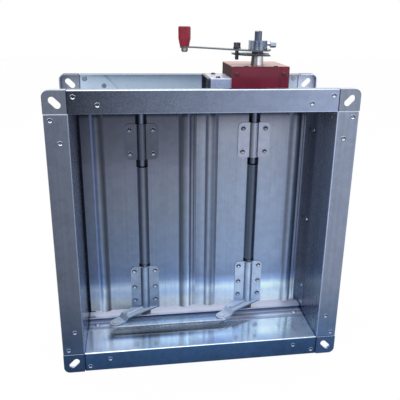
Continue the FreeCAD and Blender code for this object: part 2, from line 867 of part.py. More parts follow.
def bush(name, neck):
    """Flanged bush with its flange at the bottom, and a sleeve of the given length above it."""
    body = new_body(name)
    bore = "(shaft_radius + running_gap)"
    sleeve = f"({bore} + bush_wall)"
    flange = f"({sleeve} + bush_flange)"
    outline = [
        (bore, "0 - bush_flange_thick"),
        (flange, "0 - bush_flange_thick"),
        (flange, "0"),
        (sleeve, "0"),
        (sleeve, neck),
        (bore, neck),
    ]
    section = body_sketch(body, name + "_section", "XZ_Plane", outlines=[outline])
    revolve(body, section)
    return body


bush_neck = "casing_sheet + blade_end_gap - bush_end_gap"
for label, x in SHAFTS.items():
    lower_bush = part(bush(f"{label}_lower_bush", bush_neck), f"bottom_bush_{label}")
    place(lower_bush, x=x, z=f"{floor_z} - casing_sheet")
    upper_bush = part(bush(f"{label}_upper_bush", bush_neck), f"top_bush_{label}")
    place(upper_bush, x=x, z=roof_z, turn=((1, 0, 0), 180))

# Blades


def bulge(width, height):
    """Radius of the arc that rises by height over a chord of width."""
    return f"((({width}) ^ 2 / 4 + ({height}) ^ 2) / (2 * ({height})))"


def bulge_inner_half(width, height, sheet_thick):
    """Half the chord of the inner arc, where it meets the sheet's other face."""
    outer = bulge(width, height)
    return f"sqrt(({outer} - {sheet_thick}) ^ 2 - ({outer} - ({height}) - {sheet_thick}) ^ 2)"


def blade_outline(middle):
    """Section of a blade about its shaft; middle says how the sheet passes the shaft."""
    skin = "blade_sheet"
    front = f"0 - {skin} / 2"
    back = f"{skin} / 2"
    rib = bulge("rib_width", "rib_height")
    rib_in = bulge_inner_half("rib_width", "rib_height", skin)
    half = "rib_width / 2"
    if middle == "bead":
        radius = bulge("bead_width", "bead_height")
        over_front = [("0 - bead_width / 2", front, radius, -1), ("bead_width / 2", front)]
        inner = bulge_inner_half("bead_width", "bead_height", skin)
        over_back = [(inner, back, f"{radius} - {skin}", 1), (f"0 - {inner}", back)]
    else:
        depth = f"({skin} / 2 + shaft_radius + shaft_seat)"
        radius = bulge("cradle_width", depth)
        outer = f"sqrt(({radius} + {skin}) ^ 2 - ({radius} - {depth} + {skin}) ^ 2)"
        over_front = [("0 - cradle_width / 2", front, radius, 1), ("cradle_width / 2", front)]
        over_back = [(outer, back, f"{radius} + {skin}", -1), (f"0 - {outer}", back)]
    edge = f"{blade_width} / 2"
    return [
        (f"0 - {edge}", front),
        (f"0 - {rib_offset} - {half}", front, rib, -1),
        (f"0 - {rib_offset} + {half}", front),
        *over_front,
        (f"{rib_offset} - {half}", front, rib, -1),
        (f"{rib_offset} + {half}", front),
        (f"{edge} - blade_lap", front),
        (f"{edge} - blade_lap + blade_joggle_run", f"{front} + blade_joggle"),
        (edge, f"{front} + blade_joggle"),
        (edge, f"{back} + blade_joggle"),
        (f"{edge} - blade_lap + blade_joggle_run", f"{back} + blade_joggle"),
        (f"{edge} - blade_lap", back),
        (f"{rib_offset} + {rib_in}", back, f"{rib} - {skin}", 1),
        (f"{rib_offset} - {rib_in}", back),
        *over_back,
        (f"0 - {rib_offset} + {rib_in}", back, f"{rib} - {skin}", 1),
        (f"0 - {rib_offset} - {rib_in}", back),
        (f"0 - {edge}", back),
    ]


saddle_low = f"({blade_high} - saddle_inset - saddle_height)"
crank_low = f"({blade_low} + crank_lift)"
saddle_middle = f"({saddle_low} + saddle_height / 2)"
SADDLE_RIVETS = [(f"{side} * saddle_rivet_across", f"{saddle_middle} + {row} * saddle_rivet_up")
                 for side in (-1, 1) for row in (-1, 1)]
CRANK_RIVETS = [(f"{side} * crank_rivet_across", f"{crank_low} + {row}")
                for side in (-1, 1) for row in ("crank_low_row", "crank_middle_row", "crank_high_row")]


def blade(name):
    """Rolled sheet with three beads; the middle one turns inside out to cradle each half shaft."""
    body = new_body(name)
    length = "(duct_height - 2 * blade_end_gap)"
    stretches = (
        ("lower", blade_low, "cradle_reach", "cradle"),
        ("middle", f"{blade_low} + cradle_reach", f"{length} - 2 * cradle_reach", "bead"),
        ("upper", f"{blade_high} - cradle_reach", "cradle_reach", "cradle"),
    )
    for label, start, run, middle in stretches:
        section = body_sketch(body, f"{name}_{label}", "XY_Plane", offset=start,
                              outlines=[blade_outline(middle)])
        pad(body, section, run)
    spots = [(x, z, rivet_hole) for x, z in SADDLE_RIVETS + CRANK_RIVETS]
    holes = body_sketch(body, name + "_rivet_holes", "XZ_Plane", circles=spots)
    pocket(body, holes, through, both_ways=True)
    return body


for label, x in SHAFTS.items():
    part(place(blade(f"{label}_blade_body"), x=x), f"blade_{label}")

# Saddles and cranks


def saddle_outline(width):
    """Section of a plate with a half-round trough over the shaft."""
    front = "(0 - blade_sheet / 2 - saddle_sheet)"
    back = "(0 - blade_sheet / 2)"
    inner = "(shaft_radius + shaft_seat)"
    outer = f"({inner} + saddle_sheet)"
    inner_half = f"sqrt({inner} ^ 2 - {back} ^ 2)"
    outer_half = f"sqrt({outer} ^ 2 - {front} ^ 2)"
    return [
        (f"0 - ({width}) / 2", front),
        (f"0 - {outer_half}", front, outer, -1),
        (outer_half, front),
        (f"({width}) / 2", front),
        (f"({width}) / 2", back),
        (inner_half, back, inner, 1),
        (f"0 - {inner_half}", back),
        (f"0 - ({width}) / 2", back),
    ]


def saddle_body(name, width, height, low, spots, round_low):
    body = new_body(name)
    section = body_sketch(body, name + "_section", "XY_Plane", offset=low, outlines=[saddle_outline(width)])
    plate = pad(body, section, height)
    side = value(width) / 2
    ends = [value(f"{low} + {height}")]
    if round_low:
        ends.append(value(low))

    def plate_corner(middle, along):
        return near(abs(middle.x), side) and abs(along.y) > 0.99 and any(near(middle.z, end) for end in ends)

    round_edges(body, plate, "saddle_corner", plate_corner)
    holes = body_sketch(body, name + "_holes", "XZ_Plane", circles=[(x, z, rivet_hole) for x, z in spots])
    pocket(body, holes, through, both_ways=True)
    return body


def crank(name):
    """Saddle whose foot turns forward into a tapered arm with a lowered tip."""
    plate = saddle_body(name + "_plate", "crank_width", "crank_height", crank_low, CRANK_RIVETS, False)
    root = "(blade_sheet / 2 + saddle_sheet / 4)"
    top = f"({crank_low} + crank_arm_sheet)"
    # Seen from above, along the arm: X runs from the shaft to the pin
    angle = 180 + value("crank_angle")
    turn_x = "cos(crank_angle)"
    turn_y = "sin(crank_angle)"
    spread = "crank_width / 2"
    # The two root corners in the arm's own frame
    left_root = (f"{spread} * {turn_x} + {root} * {turn_y}", f"0 - {spread} * {turn_y} + {root} * {turn_x}")
    right_root = (f"0 - {spread} * {turn_x} + {root} * {turn_y}", f"{spread} * {turn_y} + {root} * {turn_x}")
    tip = "crank_tip_radius"
    outline = [
        left_root,
        ("crank_radius", f"0 - {tip}", tip, -1),
        ("crank_radius", tip),
        right_root,
    ]
    plan = prism(name + "_plan", outline, through, z=f"{top} - {through} / 2", turn=((0, 0, 1), angle))
    drop = "crank_tip_drop"
    step = "(crank_radius - crank_tip_run)"
    thick = "crank_arm_sheet"
    side = [
        ("0 - crank_width", f"{top} - {thick}"),
        (f"{step} - crank_ramp", f"{top} - {thick}"),
        (step, f"{top} - {thick} - {drop}"),
        ("crank_radius + 2 * crank_tip_radius", f"{top} - {thick} - {drop}"),
        ("crank_radius + 2 * crank_tip_radius", f"{top} - {drop}"),
        (step, f"{top} - {drop}"),
        (f"{step} - crank_ramp", top),
        ("0 - crank_width", top),
    ]
    upright = FreeCAD.Rotation(UP, angle) * FreeCAD.Rotation(FreeCAD.Vector(1, 0, 0), 90)
    profile = prism(name + "_profile", side, "2 * crank_width")
    aside = upright.multVec(FreeCAD.Vector(0, 0, -value("crank_width")))
    profile.Base.Placement = FreeCAD.Placement(aside, upright)
    arm = common(name + "_arm", [plan, profile])
    rib = cylinder(name + "_rib", "crank_rib_radius", f"{step} - crank_ramp - crank_rib_gap")
    rib.Angle = 180
    lying = FreeCAD.Rotation(UP, angle) * FreeCAD.Rotation(FreeCAD.Vector(0, 1, 0), 90)
    lying = lying * FreeCAD.Rotation(FreeCAD.Vector(0, 0, 1), 90)
    rib.Placement = FreeCAD.Placement(FreeCAD.Vector(), lying)
    bind(rib, "Placement.Base.z", f"{top} - crank_rib_sunk")
    whole = fuse(name + "_whole", [plate, arm, rib])
    clear = cylinder(name + "_shaft_hole", "shaft_radius + shaft_seat", through,
                     z=f"{blade_low} - {through} / 2")
    pin_hole = cylinder(name + "_pin_hole", "pin_radius + shaft_seat", through, pin_x, pin_y,
                        f"{blade_low} - {through} / 2")
    return cut(name, whole, fuse(name + "_holes", [clear, pin_hole]))


for label, x in SHAFTS.items():
    upper = saddle_body(f"{label}_saddle_body", "saddle_width", "saddle_height", saddle_low,
                        SADDLE_RIVETS, True)
    part(place(upper, x=x), f"saddle_{label}")
    part(place(crank(f"{label}_crank"), x=x), f"crank_{label}")

# Rivets through plate and blade


for label, x in SHAFTS.items():
    for plate, spots in (("saddle", SADDLE_RIVETS), ("crank", CRANK_RIVETS)):
        rivets = [hollow_rivet(f"{label}_{plate}_rivet_{number}", "(saddle_sheet + blade_sheet)",
                               f"{x} + {across}", "blade_sheet / 2", z, ((1, 0, 0), 90))
                  for number, (across, z) in enumerate(spots)]
        part(group(f"{label}_{plate}_rivet_group", rivets), f"{plate}_rivets_{label}")

# Half shafts

lower_shaft_foot = f"({floor_z} - casing_sheet - bush_flange_thick - stub_depth)"
upper_shaft_head = f"({roof_z} + bush_flange_thick + stub_depth)"
lower_shaft_top = f"({blade_low} + cradle_reach - shaft_bevel)"
upper_shaft_foot = f"({blade_high} - cradle_reach + shaft_bevel)"


def half_shaft(name, low, high):
    """Round bar with a chamfer at both ends."""
    body = new_body(name)
    bevel = "shaft_bevel"
    outline = [
        ("0", low),
        (f"shaft_radius - {bevel}", low),
        ("shaft_radius", f"{low} + {bevel}"),
        ("shaft_radius", f"{high} - {bevel}"),
        (f"shaft_radius - {bevel}", high),
        ("0", high),
    ]
    revolve(body, body_sketch(body, name + "_section", "XZ_Plane", outlines=[outline]))
    return body


for label, x in SHAFTS.items():
    lower = half_shaft(f"{label}_lower_bar", lower_shaft_foot, lower_shaft_top)
    part(place(lower, x=x), f"lower_shaft_{label}")
part(place(half_shaft("idle_upper_bar", upper_shaft_foot, upper_shaft_head), x=idle_x), "upper_shaft_idle")
drive_head = f"({hub_top} + stub_rise)"
drive = half_shaft("drive_upper_bar", upper_shaft_foot, drive_head)
mark = body_sketch(drive, "drive_mark", "XZ_Plane",
                   outlines=[box_outline("0 - stub_mark / 2", f"{drive_head} - stub_mark_depth",
                                         "stub_mark / 2", f"{drive_head} + {past}")])
pocket(drive, mark, through, both_ways=True)
part(place(drive, x=drive_x), "upper_shaft_drive")

# Link bar and pins

tip_low = f"({crank_low} - crank_tip_drop)"
link_low = f"({tip_low} - link_gap - link_sheet)"


def link_bar():
    body = new_body("link_bar_body")
    half = "link_width / 2"
    ends = [f"{x} + {pin_x}" for x in SHAFTS.values()]
    outline = [
        (ends[0], f"{pin_y} - {half}"),
        (ends[1], f"{pin_y} - {half}", half, -1),
        (ends[1], f"{pin_y} + {half}"),
        (ends[0], f"{pin_y} + {half}", half, -1),
    ]
    holes = [(ends[0], pin_y, "pin_radius + open_pin_play"), (ends[1], pin_y, "pin_radius + pin_play")]
    section = body_sketch(body, "link_bar_outline", "XY_Plane", offset=link_low, outlines=[outline],
                          circles=holes)
    pad(body, section, "link_sheet")
    return body


part(link_bar(), "link_bar")


def crank_pin(name):
    """Bolt through the crank's tip: low head above, collar and nut under the bar."""
    body = new_body(name)
    head_low = f"({tip_low} + crank_arm_sheet)"
    nut_top = f"({link_low} - link_gap)"
    tail = f"({nut_top} - pin_tail)"
    outline = [
        ("0", tail),
        ("pin_radius - pin_thread_step", tail),
        ("pin_radius - pin_thread_step", f"{nut_top} - pin_nut_thick"),
        ("pin_head", f"{nut_top} - pin_nut_thick"),
        ("pin_head", nut_top),
        ("pin_radius", nut_top),
        ("pin_radius", head_low),
        ("pin_head", head_low),
        ("pin_head", f"{head_low} + pin_head_rim"),
        ("pin_head - pin_crown", f"{head_low} + pin_head_rise"),
        ("0", f"{head_low} + pin_head_rise"),
    ]
    revolve(body, body_sketch(body, name + "_section", "XZ_Plane", outlines=[outline]))
    return body


for label, x in SHAFTS.items():
    part(place(crank_pin(f"{label}_crank_pin"), x=f"{x} + {pin_x}", y=pin_y), f"link_pin_{label}")

# Stand on the roof of the casing


def stand():
    """Top-hat bridge over the drive shaft, open at both ends, on two feet."""
    body = new_body("stand_body")
    skin = "stand_sheet"
    front = "(0 - stand_front)"
    back = "stand_back"
    section = [
        (f"{front} - stand_foot", roof_z),
        (f"{front} + {skin}", roof_z),
        (f"{front} + {skin}", f"{stand_top} - {skin}"),
        (f"{back} - {skin}", f"{stand_top} - {skin}"),
        (f"{back} - {skin}", roof_z),
        (f"{back} + stand_foot", roof_z),
        (f"{back} + stand_foot", f"{roof_z} + {skin}"),
        (back, f"{roof_z} + {skin}"),
        (back, stand_top),
        (front, stand_top),
        (front, f"{roof_z} + {skin}"),
        (f"{front} - stand_foot", f"{roof_z} + {skin}"),
    ]
    hat = body_sketch(body, "stand_section", "YZ_Plane", offset=f"{drive_x} - stand_left", outlines=[section])
    bridge = pad(body, hat, "stand_left + stand_right")
    edges = (value(front), value(back))
    high = value(stand_top)

    def top_bend(middle, along):
        return any(near(middle.y, edge) for edge in edges) and near(middle.z, high) and abs(along.x) > 0.99

    round_edges(body, bridge, "stand_bend", top_bend)
    bore = [(drive_x, "0", "shaft_radius + stand_bore_gap")]
    bore += [(x, y, screw_hole) for x, y in STAND_SPOTS + TOP_SPOTS]
    holes = body_sketch(body, "stand_holes", "XY_Plane", offset=f"{stand_top} + {past}", circles=bore)
    pocket(body, holes, f"stand_height + 2 * {past}")
    return body


part(stand(), "actuator_stand")


def stand_brace():
    """Channel that holds the open end of the stand upright, screwed up to its top."""
    body = new_body("stand_brace_body")
    skin = "stand_sheet"
    left = f"({drive_x} - stand_left + brace_inset)"
    low = roof_z
    high = f"({stand_top} - {skin})"
    section = [
        (left, low),
        (f"{left} + brace_leg", low),
        (f"{left} + brace_leg", f"{low} + {skin}"),
        (f"{left} + {skin}", f"{low} + {skin}"),
        (f"{left} + {skin}", f"{high} - {skin}"),
        (f"{left} + brace_leg", f"{high} - {skin}"),
        (f"{left} + brace_leg", high),
        (left, high),
    ]
    profile = body_sketch(body, "stand_brace_section", "XZ_Plane", offset=f"0 - {stand_middle}",
                          outlines=[section])
    pad(body, profile, f"stand_front + stand_back - 2 * {skin} - 2 * cover_gap", both_ways=True)
    spots = [(x, y, screw_hole) for x, y in TOP_SPOTS]
    holes = body_sketch(body, "stand_brace_holes", "XY_Plane", offset=f"{high} + {past}", circles=spots)
    pocket(body, holes, f"{skin} + 2 * {past}")
    return body


part(stand_brace(), "stand_brace")

# The foot screws end inside the roof, clear of the sill under it
stand_screws = [pan_screw(f"stand_foot_screw_{number}", x, y, f"{roof_z} + stand_sheet",
                          length="stand_sheet + casing_sheet - hole_gap")
                for number, (x, y) in enumerate(STAND_SPOTS)]
stand_screws += [pan_screw(f"stand_top_screw_{number}", x, y, stand_top)
                 for number, (x, y) in enumerate(TOP_SPOTS)]
part(group("stand_screw_group", stand_screws), "stand_screws")

# Cover over the stand, and its front plate

cover_top = f"({roof_z} + cover_height)"
cover_low = f"({roof_z} + cover_floor_gap)"
cover_left = f"({drive_x} - cover_width / 2)"
cover_right = f"({drive_x} + cover_width / 2)"
cover_face = "(0 - cover_front)"
tab_half = "(cover_tab / 2 + cover_gap)"
ear_low = f"({stand_top} + 2 * cover_gap)"
COVER_SPOTS = [(f"{drive_x} + {side} * cover_screw_x", f"{cover_top} - cover_screw_drop") for side in (-1, 1)]
through_front = f"2 * {past} + 2 * cover_sheet + cover_gap"


def cover():
    """Folded box without a bottom, whose front is closed by a plate beside one narrow flange."""
    body = new_body("cover_body")
    skin = "cover_sheet"
    shell = body_sketch(body, "cover_plan", "XY_Plane", offset=cover_low,
                        outlines=[box_outline(cover_left, cover_face, cover_right, "cover_back")])
    box = pad(body, shell, f"{cover_top} - {cover_low}")
    high = value(cover_top)
    left = value(cover_left)
    right = value(cover_right)
    front = value(cover_face)

    def rounded(middle, along):
        side = near(middle.x, left) or near(middle.x, right)
        upright = side and not near(middle.y, front) and abs(along.z) > 0.99
        rim = near(middle.z, high) and not near(middle.y, front)
        return upright or rim

    round_edges(body, box, "cover_bend", rounded)
    inside = body_sketch(body, "cover_inside", "XY_Plane", offset=f"{cover_low} - {past}",
                         outlines=[box_outline(f"{cover_left} + {skin}", f"{cover_face} + {skin}",
                                               f"{cover_right} - {skin}", f"cover_back - {skin}")])
    pocket(body, inside, f"{cover_top} - {cover_low} - {skin} + {past}", reverse=True)
    # The front opening leaves the top's edge and a flange at the right
    gate = body_sketch(body, "cover_gate", "XZ_Plane", offset=f"cover_front + {past}",
                       outlines=[box_outline(f"{cover_left} - {past}", f"{cover_low} - {past}",
                                             f"{cover_right} - cover_flange", f"{cover_top} - {skin}")])
    pocket(body, gate, f"{past} + {skin}")
    # A short flange behind the plate takes the left screw
    behind = f"({cover_face} + {skin} + cover_gap)"
    ear = body_sketch(body, "cover_ear", "XY_Plane", offset=ear_low,
                      outlines=[box_outline(cover_left, behind, f"{cover_left} + cover_flange",
                                            f"{behind} + {skin}")])
    pad(body, ear, f"{cover_top} - {skin} - {ear_low}")
    notches = []
    for side in (-1, 1):
        middle = f"{drive_x} + {side} * cover_tab_offset"
        notches.append(box_outline(f"{middle} - {tab_half}", f"{cover_face} - {past}",
                                   f"{middle} + {tab_half}", behind))
    slots = body_sketch(body, "cover_notches", "XY_Plane", offset=f"{cover_top} + {past}", outlines=notches)
    pocket(body, slots, f"{skin} + {past} + cover_gap")
    neck = body_sketch(body, "cover_neck_hole", "XY_Plane", offset=f"{cover_top} + {past}",
                       circles=[(drive_x, "0", "neck_bottom_radius + cover_gap")])
    pocket(body, neck, f"{skin} + 2 * {past}")
    # The stand passes out through the left wall
    port = body_sketch(body, "cover_port", "YZ_Plane", offset=f"{cover_left} - {past}",
                       outlines=[box_outline(f"{cover_face} - {past}", f"{cover_low} - {past}",
                                             "stand_back + cover_gap", f"{stand_top} + cover_gap")])
    pocket(body, port, f"{skin} + 2 * {past}", reverse=True)
    screws = body_sketch(body, "cover_screw_holes", "XZ_Plane", offset=f"cover_front + {past}",
                         circles=[(x, z, screw_hole) for x, z in COVER_SPOTS])
    pocket(body, screws, through_front)
    return body


part(cover(), "cover_shell")


def front_plate():
    """Flat plate with two tabs that hook through the top's edge and a flange inside each side."""
    body = new_body("front_plate_body")
    skin = "cover_sheet"
    low = cover_low
    high = f"({cover_top} - {skin} - cover_gap)"
    right = f"({cover_right} - cover_flange - cover_gap)"
    outline = [(cover_left, low), (right, low), (right, high)]
    tab_top = f"{cover_top} + cover_tab_rise"
    for side in (1, -1):
        tab_left = f"{drive_x} + {side} * cover_tab_offset - cover_tab / 2"
        tab_right = f"{tab_left} + cover_tab"
        outline += [(tab_right, high), (tab_right, tab_top), (tab_left, tab_top), (tab_left, high)]
    outline.append((cover_left, high))
    face = body_sketch(body, "front_plate_outline", "XZ_Plane", offset="cover_front", outlines=[outline])
    pad(body, face, skin, reverse=True)
    # The plate's right edge steps back behind the box's flange
    step = f"({cover_face} + {skin})"
    end = f"({cover_right} - {skin} - cover_gap)"
    joggle = [
        (f"{right} - cover_tab", f"{step} - {skin} / 2"),
        (right, f"{step} - {skin} / 2"),
        (right, f"{step} + cover_gap"),
        (end, f"{step} + cover_gap"),
        (end, f"{step} + cover_gap + {skin}"),
        (f"{right} - cover_tab", f"{step} + cover_gap + {skin}"),
    ]
    ear = body_sketch(body, "front_plate_ear", "XY_Plane", offset=ear_low, outlines=[joggle])
    pad(body, ear, f"{high} - {ear_low}")
    screws = body_sketch(body, "front_plate_screw_holes", "XZ_Plane", offset=f"cover_front + {past}",
                         circles=[(x, z, screw_hole) for x, z in COVER_SPOTS])
    pocket(body, screws, through_front)
    return body


part(front_plate(), "cover_front_plate")
cover_screws = [pan_screw(f"cover_screw_{number}", x, cover_face, z, ((1, 0, 0), 90))
                for number, (x, z) in enumerate(COVER_SPOTS)]
part(group("cover_screw_group", cover_screws), "cover_screws")

# Neck, quadrant and friction washer


def neck():
    """Flanged, slightly tapered tube that guides the drive shaft and carries the quadrant."""
    body = new_body("neck_body")
    bore = "(shaft_radius + running_gap)"
    taper_low = f"{cover_top} - cover_sheet - neck_taper_drop"
    outline = [
        (bore, stand_top),
        ("neck_flange_radius", stand_top),
        ("neck_flange_radius", f"{stand_top} + neck_flange_thick"),
        ("neck_bottom_radius", f"{stand_top} + neck_flange_thick"),
        ("neck_bottom_radius", taper_low),
        ("neck_top_radius", quadrant_low),
        ("neck_spigot", quadrant_low),
        ("neck_spigot", f"{quadrant_low} + quadrant_sheet"),
        (bore, f"{quadrant_low} + quadrant_sheet"),
    ]
    revolve(body, body_sketch(body, "neck_section", "XZ_Plane", outlines=[outline]))
    return body


part(place(neck(), x=drive_x), "neck_bush")


def quadrant():
    """Fan-shaped plate with an arc slot for the lock bolt's quarter turn."""
    body = new_body("quadrant_body")

    def at(radius, angle):
        return f"({radius}) * cos({angle})", f"({radius}) * sin({angle})"

    far = "quadrant_radius"
    hub = "quadrant_hub"
    start = "rest_angle"
    stop = "(rest_angle + travel_angle)"
    near_end = f"({start} - quadrant_end_angle)"
    far_end = f"({stop} + quadrant_end_angle)"
    hub_start = f"({near_end} - quadrant_near_angle)"
    hub_stop = f"({far_end} + quadrant_far_angle)"
    outline = [
        (*at(far, near_end), far, -1),
        at(far, far_end),
        (*at(hub, hub_stop), hub, -1),
        (*at(hub, f"({hub_start} + {hub_stop} - 360) / 2"), hub, -1),
        at(hub, hub_start),
    ]
    outer = "(quadrant_slot_radius + quadrant_slot_width / 2)"
    inner = "(quadrant_slot_radius - quadrant_slot_width / 2)"
    end = "quadrant_slot_width / 2"
    slot = [
        (*at(outer, start), outer, -1),
        (*at(outer, stop), end, -1),
        (*at(inner, stop), inner, 1),
        (*at(inner, start), end, -1),
    ]
    plate = body_sketch(body, "quadrant_outline", "XY_Plane", offset=quadrant_low, outlines=[outline, slot],
                        circles=[("0", "0", "neck_spigot + hole_gap")])
    pad(body, plate, "quadrant_sheet")
    return body


part(place(quadrant(), x=drive_x), "quadrant_plate")


def ring(name, inner, outer, low, thick):
    body = new_body(name)
    circles = body_sketch(body, name + "_circles", "XY_Plane", offset=low,
                          circles=[("0", "0", outer), ("0", "0", inner)])
    pad(body, circles, thick)
    return body


friction_washer = ring("washer_body", "shaft_radius + shaft_seat", "washer_radius",
                       f"{quadrant_low} + quadrant_sheet", "washer_thick")
part(place(friction_washer, x=drive_x), "friction_washer")

# Lever, hub and their screws


def lever():
    """Strip lever: flat at the hub, rising to the knob, with its short tail turned up."""
    end = "lever_tip_width / 2"
    side = "lever_hub_width / 2"
    outline = [
        ("lever_tail", f"0 - {side} + lever_corner"),
        ("lever_tail", f"{side} - lever_corner"),
        ("lever_tail - lever_corner", side),
        ("0 - lever_flat", side),
        ("0 - lever_reach", end, end, -1),
        ("0 - lever_reach", f"0 - {end}"),
        ("0 - lever_flat", f"0 - {side}"),
        ("lever_tail - lever_corner", f"0 - {side}"),
    ]
    plan = prism("lever_plan", outline, through, z=f"{lever_low} - {through} / 2")
    thick = "lever_sheet"
    far = "(0 - lever_reach - lever_tip_width)"
    crest = "(0 - lever_reach + lever_tip_flat)"
    bend = "(hub_width / 2 + lever_bend_gap)"
    tail = f"(lever_tail + {past})"
    profile = [
        ("0 - lever_flat", lever_low),
        (bend, lever_low),
        (tail, f"{lever_low} + lever_tail_rise"),
        (tail, f"{lever_low} + lever_tail_rise + {thick}"),
        (bend, f"{lever_low} + {thick}"),
        ("0 - lever_flat", f"{lever_low} + {thick}"),
        (crest, f"{lever_low} + lever_rise + {thick}"),
        (far, f"{lever_low} + lever_rise + {thick}"),
        (far, f"{lever_low} + lever_rise"),
        (crest, f"{lever_low} + lever_rise"),
    ]
    upright = prism("lever_profile", profile, "2 * lever_hub_width", turn=((1, 0, 0), 90),
                    y="lever_hub_width")
    strip = common("lever_strip", [plan, upright])
    low = f"{lever_low} - {through} / 2"
    bore = cylinder("lever_bore", "shaft_radius + shaft_seat", through, z=low)
    bolt = cylinder("lever_bolt_hole", "lock_radius + hole_gap", through, x="0 - quadrant_slot_radius", z=low)
    rivet = cylinder("lever_knob_hole", "knob_pin + hole_gap", through, x="0 - lever_reach", z=low)
    return cut("lever_cut", strip, fuse("lever_holes", [bore, bolt, rivet]))


part(place(lever(), x=drive_x), "lever")


def hub():
    """Block with cut corners, bored for the shaft and cross-drilled for the set screw."""
    body = new_body("hub_body")
    half = "(hub_width / 2)"
    inset = f"({half} - hub_chamfer)"
    outline = [
        (half, f"0 - {inset}"),
        (half, inset),
        (inset, half),
        (f"0 - {inset}", half),
        (f"0 - {half}", inset),
        (f"0 - {half}", f"0 - {inset}"),
        (f"0 - {inset}", f"0 - {half}"),
        (inset, f"0 - {half}"),
    ]
    block = body_sketch(body, "hub_outline", "XY_Plane", offset=hub_low, outlines=[outline],
                        circles=[("0", "0", "shaft_radius + shaft_seat")])
    pad(body, block, "hub_height")
    drill = body_sketch(body, "hub_cross_hole", "YZ_Plane", offset=f"{half} + {past}",
                        circles=[("0", f"{hub_low} + set_screw_height", "set_screw_radius + hole_gap")])
    pocket(body, drill, f"{half} - shaft_radius + {past}")
    return body


part(place(hub(), x=drive_x), "handle_hub")

set_screw_grip = "(hub_width / 2 - shaft_radius + set_screw_stand)"
set_tip = cylinder("set_screw_shank", "set_screw_radius", f"{set_screw_grip} + {overlap}")
set_head = doc.addObject("Part::Prism", "set_screw_hex")
set_head.Polygon = 6
bind(set_head, "Circumradius", "set_screw_head")
bind(set_head, "Height", "set_screw_head_thick")
place(set_head, z=set_screw_grip)
set_screw = fuse("set_screw_solid", [set_tip, set_head])
place(set_screw, f"{drive_x} + shaft_radius", "0", f"{hub_low} + set_screw_height", ((0, 1, 0), 90))
part(set_screw, "set_screw")

# Lock bolt through lever and quadrant

lever_slope = "(lever_rise / (lever_reach - lever_tip_flat - lever_flat))"
lever_slope_rise = f"({lever_slope} * (quadrant_slot_radius - lever_flat))"
lock_seat = f"({lever_low} + {lever_slope_rise} + lever_sheet + lock_seat_gap)"
lock_x = f"{drive_x} - quadrant_slot_radius"
lock_ring = ring("lock_washer_body", "lock_radius + hole_gap", "lock_washer", lock_seat, "lock_washer_thick")
part(place(lock_ring, x=lock_x), "lock_washer")


def lock_bolt():
    """Slotted cheese-head bolt, with its thread's end below the quadrant."""
    body = new_body("lock_bolt_body")
    seat = f"({lock_seat} + lock_washer_thick)"
    tail = f"({quadrant_low} - lock_tail)"
    outline = [
        ("0", tail),
        ("lock_radius - lock_bevel", tail),
        ("lock_radius", f"{tail} + lock_bevel"),
        ("lock_radius", seat),
        ("lock_head", seat),
        ("lock_head", f"{seat} + lock_head_height"),
        ("0", f"{seat} + lock_head_height"),
    ]
    revolve(body, body_sketch(body, "lock_bolt_section", "XZ_Plane", outlines=[outline]))
    head_top = f"{seat} + lock_head_height"
    groove = box_outline("0 - lock_slot / 2", f"{head_top} - lock_slot_depth",
                         "lock_slot / 2", f"{head_top} + {past}")
    slot = body_sketch(body, "lock_bolt_slot", "XZ_Plane", outlines=[groove])
    pocket(body, slot, through, both_ways=True)
    return body


part(place(lock_bolt(), x=lock_x), "lock_bolt")

# Knob on its rivet

knob_seat = f"({lever_low} + lever_rise + lever_sheet + knob_gap)"
knob_x = f"{drive_x} - lever_reach"


def knob():
    """Turned grip: narrow foot, straight body and a rounded top, bored for its rivet."""
    body = new_body("knob_body")
    bore = "(knob_pin + running_gap)"
    top = f"({knob_seat} + knob_height)"
    outline = [
        (bore, knob_seat),
        ("knob_foot_radius", knob_seat),
        ("knob_radius", f"{knob_seat} + knob_taper"),
        ("knob_radius", f"{top} - knob_rounding", "knob_rounding", -1),
        ("knob_radius - knob_rounding", top),
        ("0", top),
        ("0", f"{knob_seat} + knob_bore_depth"),
        (bore, f"{knob_seat} + knob_bore_depth"),
    ]
    revolve(body, body_sketch(body, "knob_section", "XZ_Plane", outlines=[outline]))
    return body


part(place(knob(), x=knob_x), "knob_grip")


def knob_rivet():
    """Rivet the grip turns on, with a domed head under the lever."""
    body = new_body("knob_rivet_body")
    under = f"({lever_low} + lever_rise - knob_rivet_play)"
    top = f"{knob_seat} + knob_bore_depth - knob_pin_gap"
    outline = [
        ("0", f"{under} - knob_rivet_rise"),
        ("knob_rivet_radius - knob_rivet_slope", f"{under} - knob_rivet_rise"),
        ("knob_rivet_radius", f"{under} - knob_rivet_rise + knob_rivet_crown"),
        ("knob_rivet_radius", under),
        ("knob_pin", under),
        ("knob_pin", top),
        ("0", top),
    ]
    revolve(body, body_sketch(body, "knob_rivet_section", "XZ_Plane", outlines=[outline]))
    return body


part(place(knob_rivet(), x=knob_x), "knob_rivet")

# Collar on the drive shaft and cap on the idle shaft, over their upper bushes

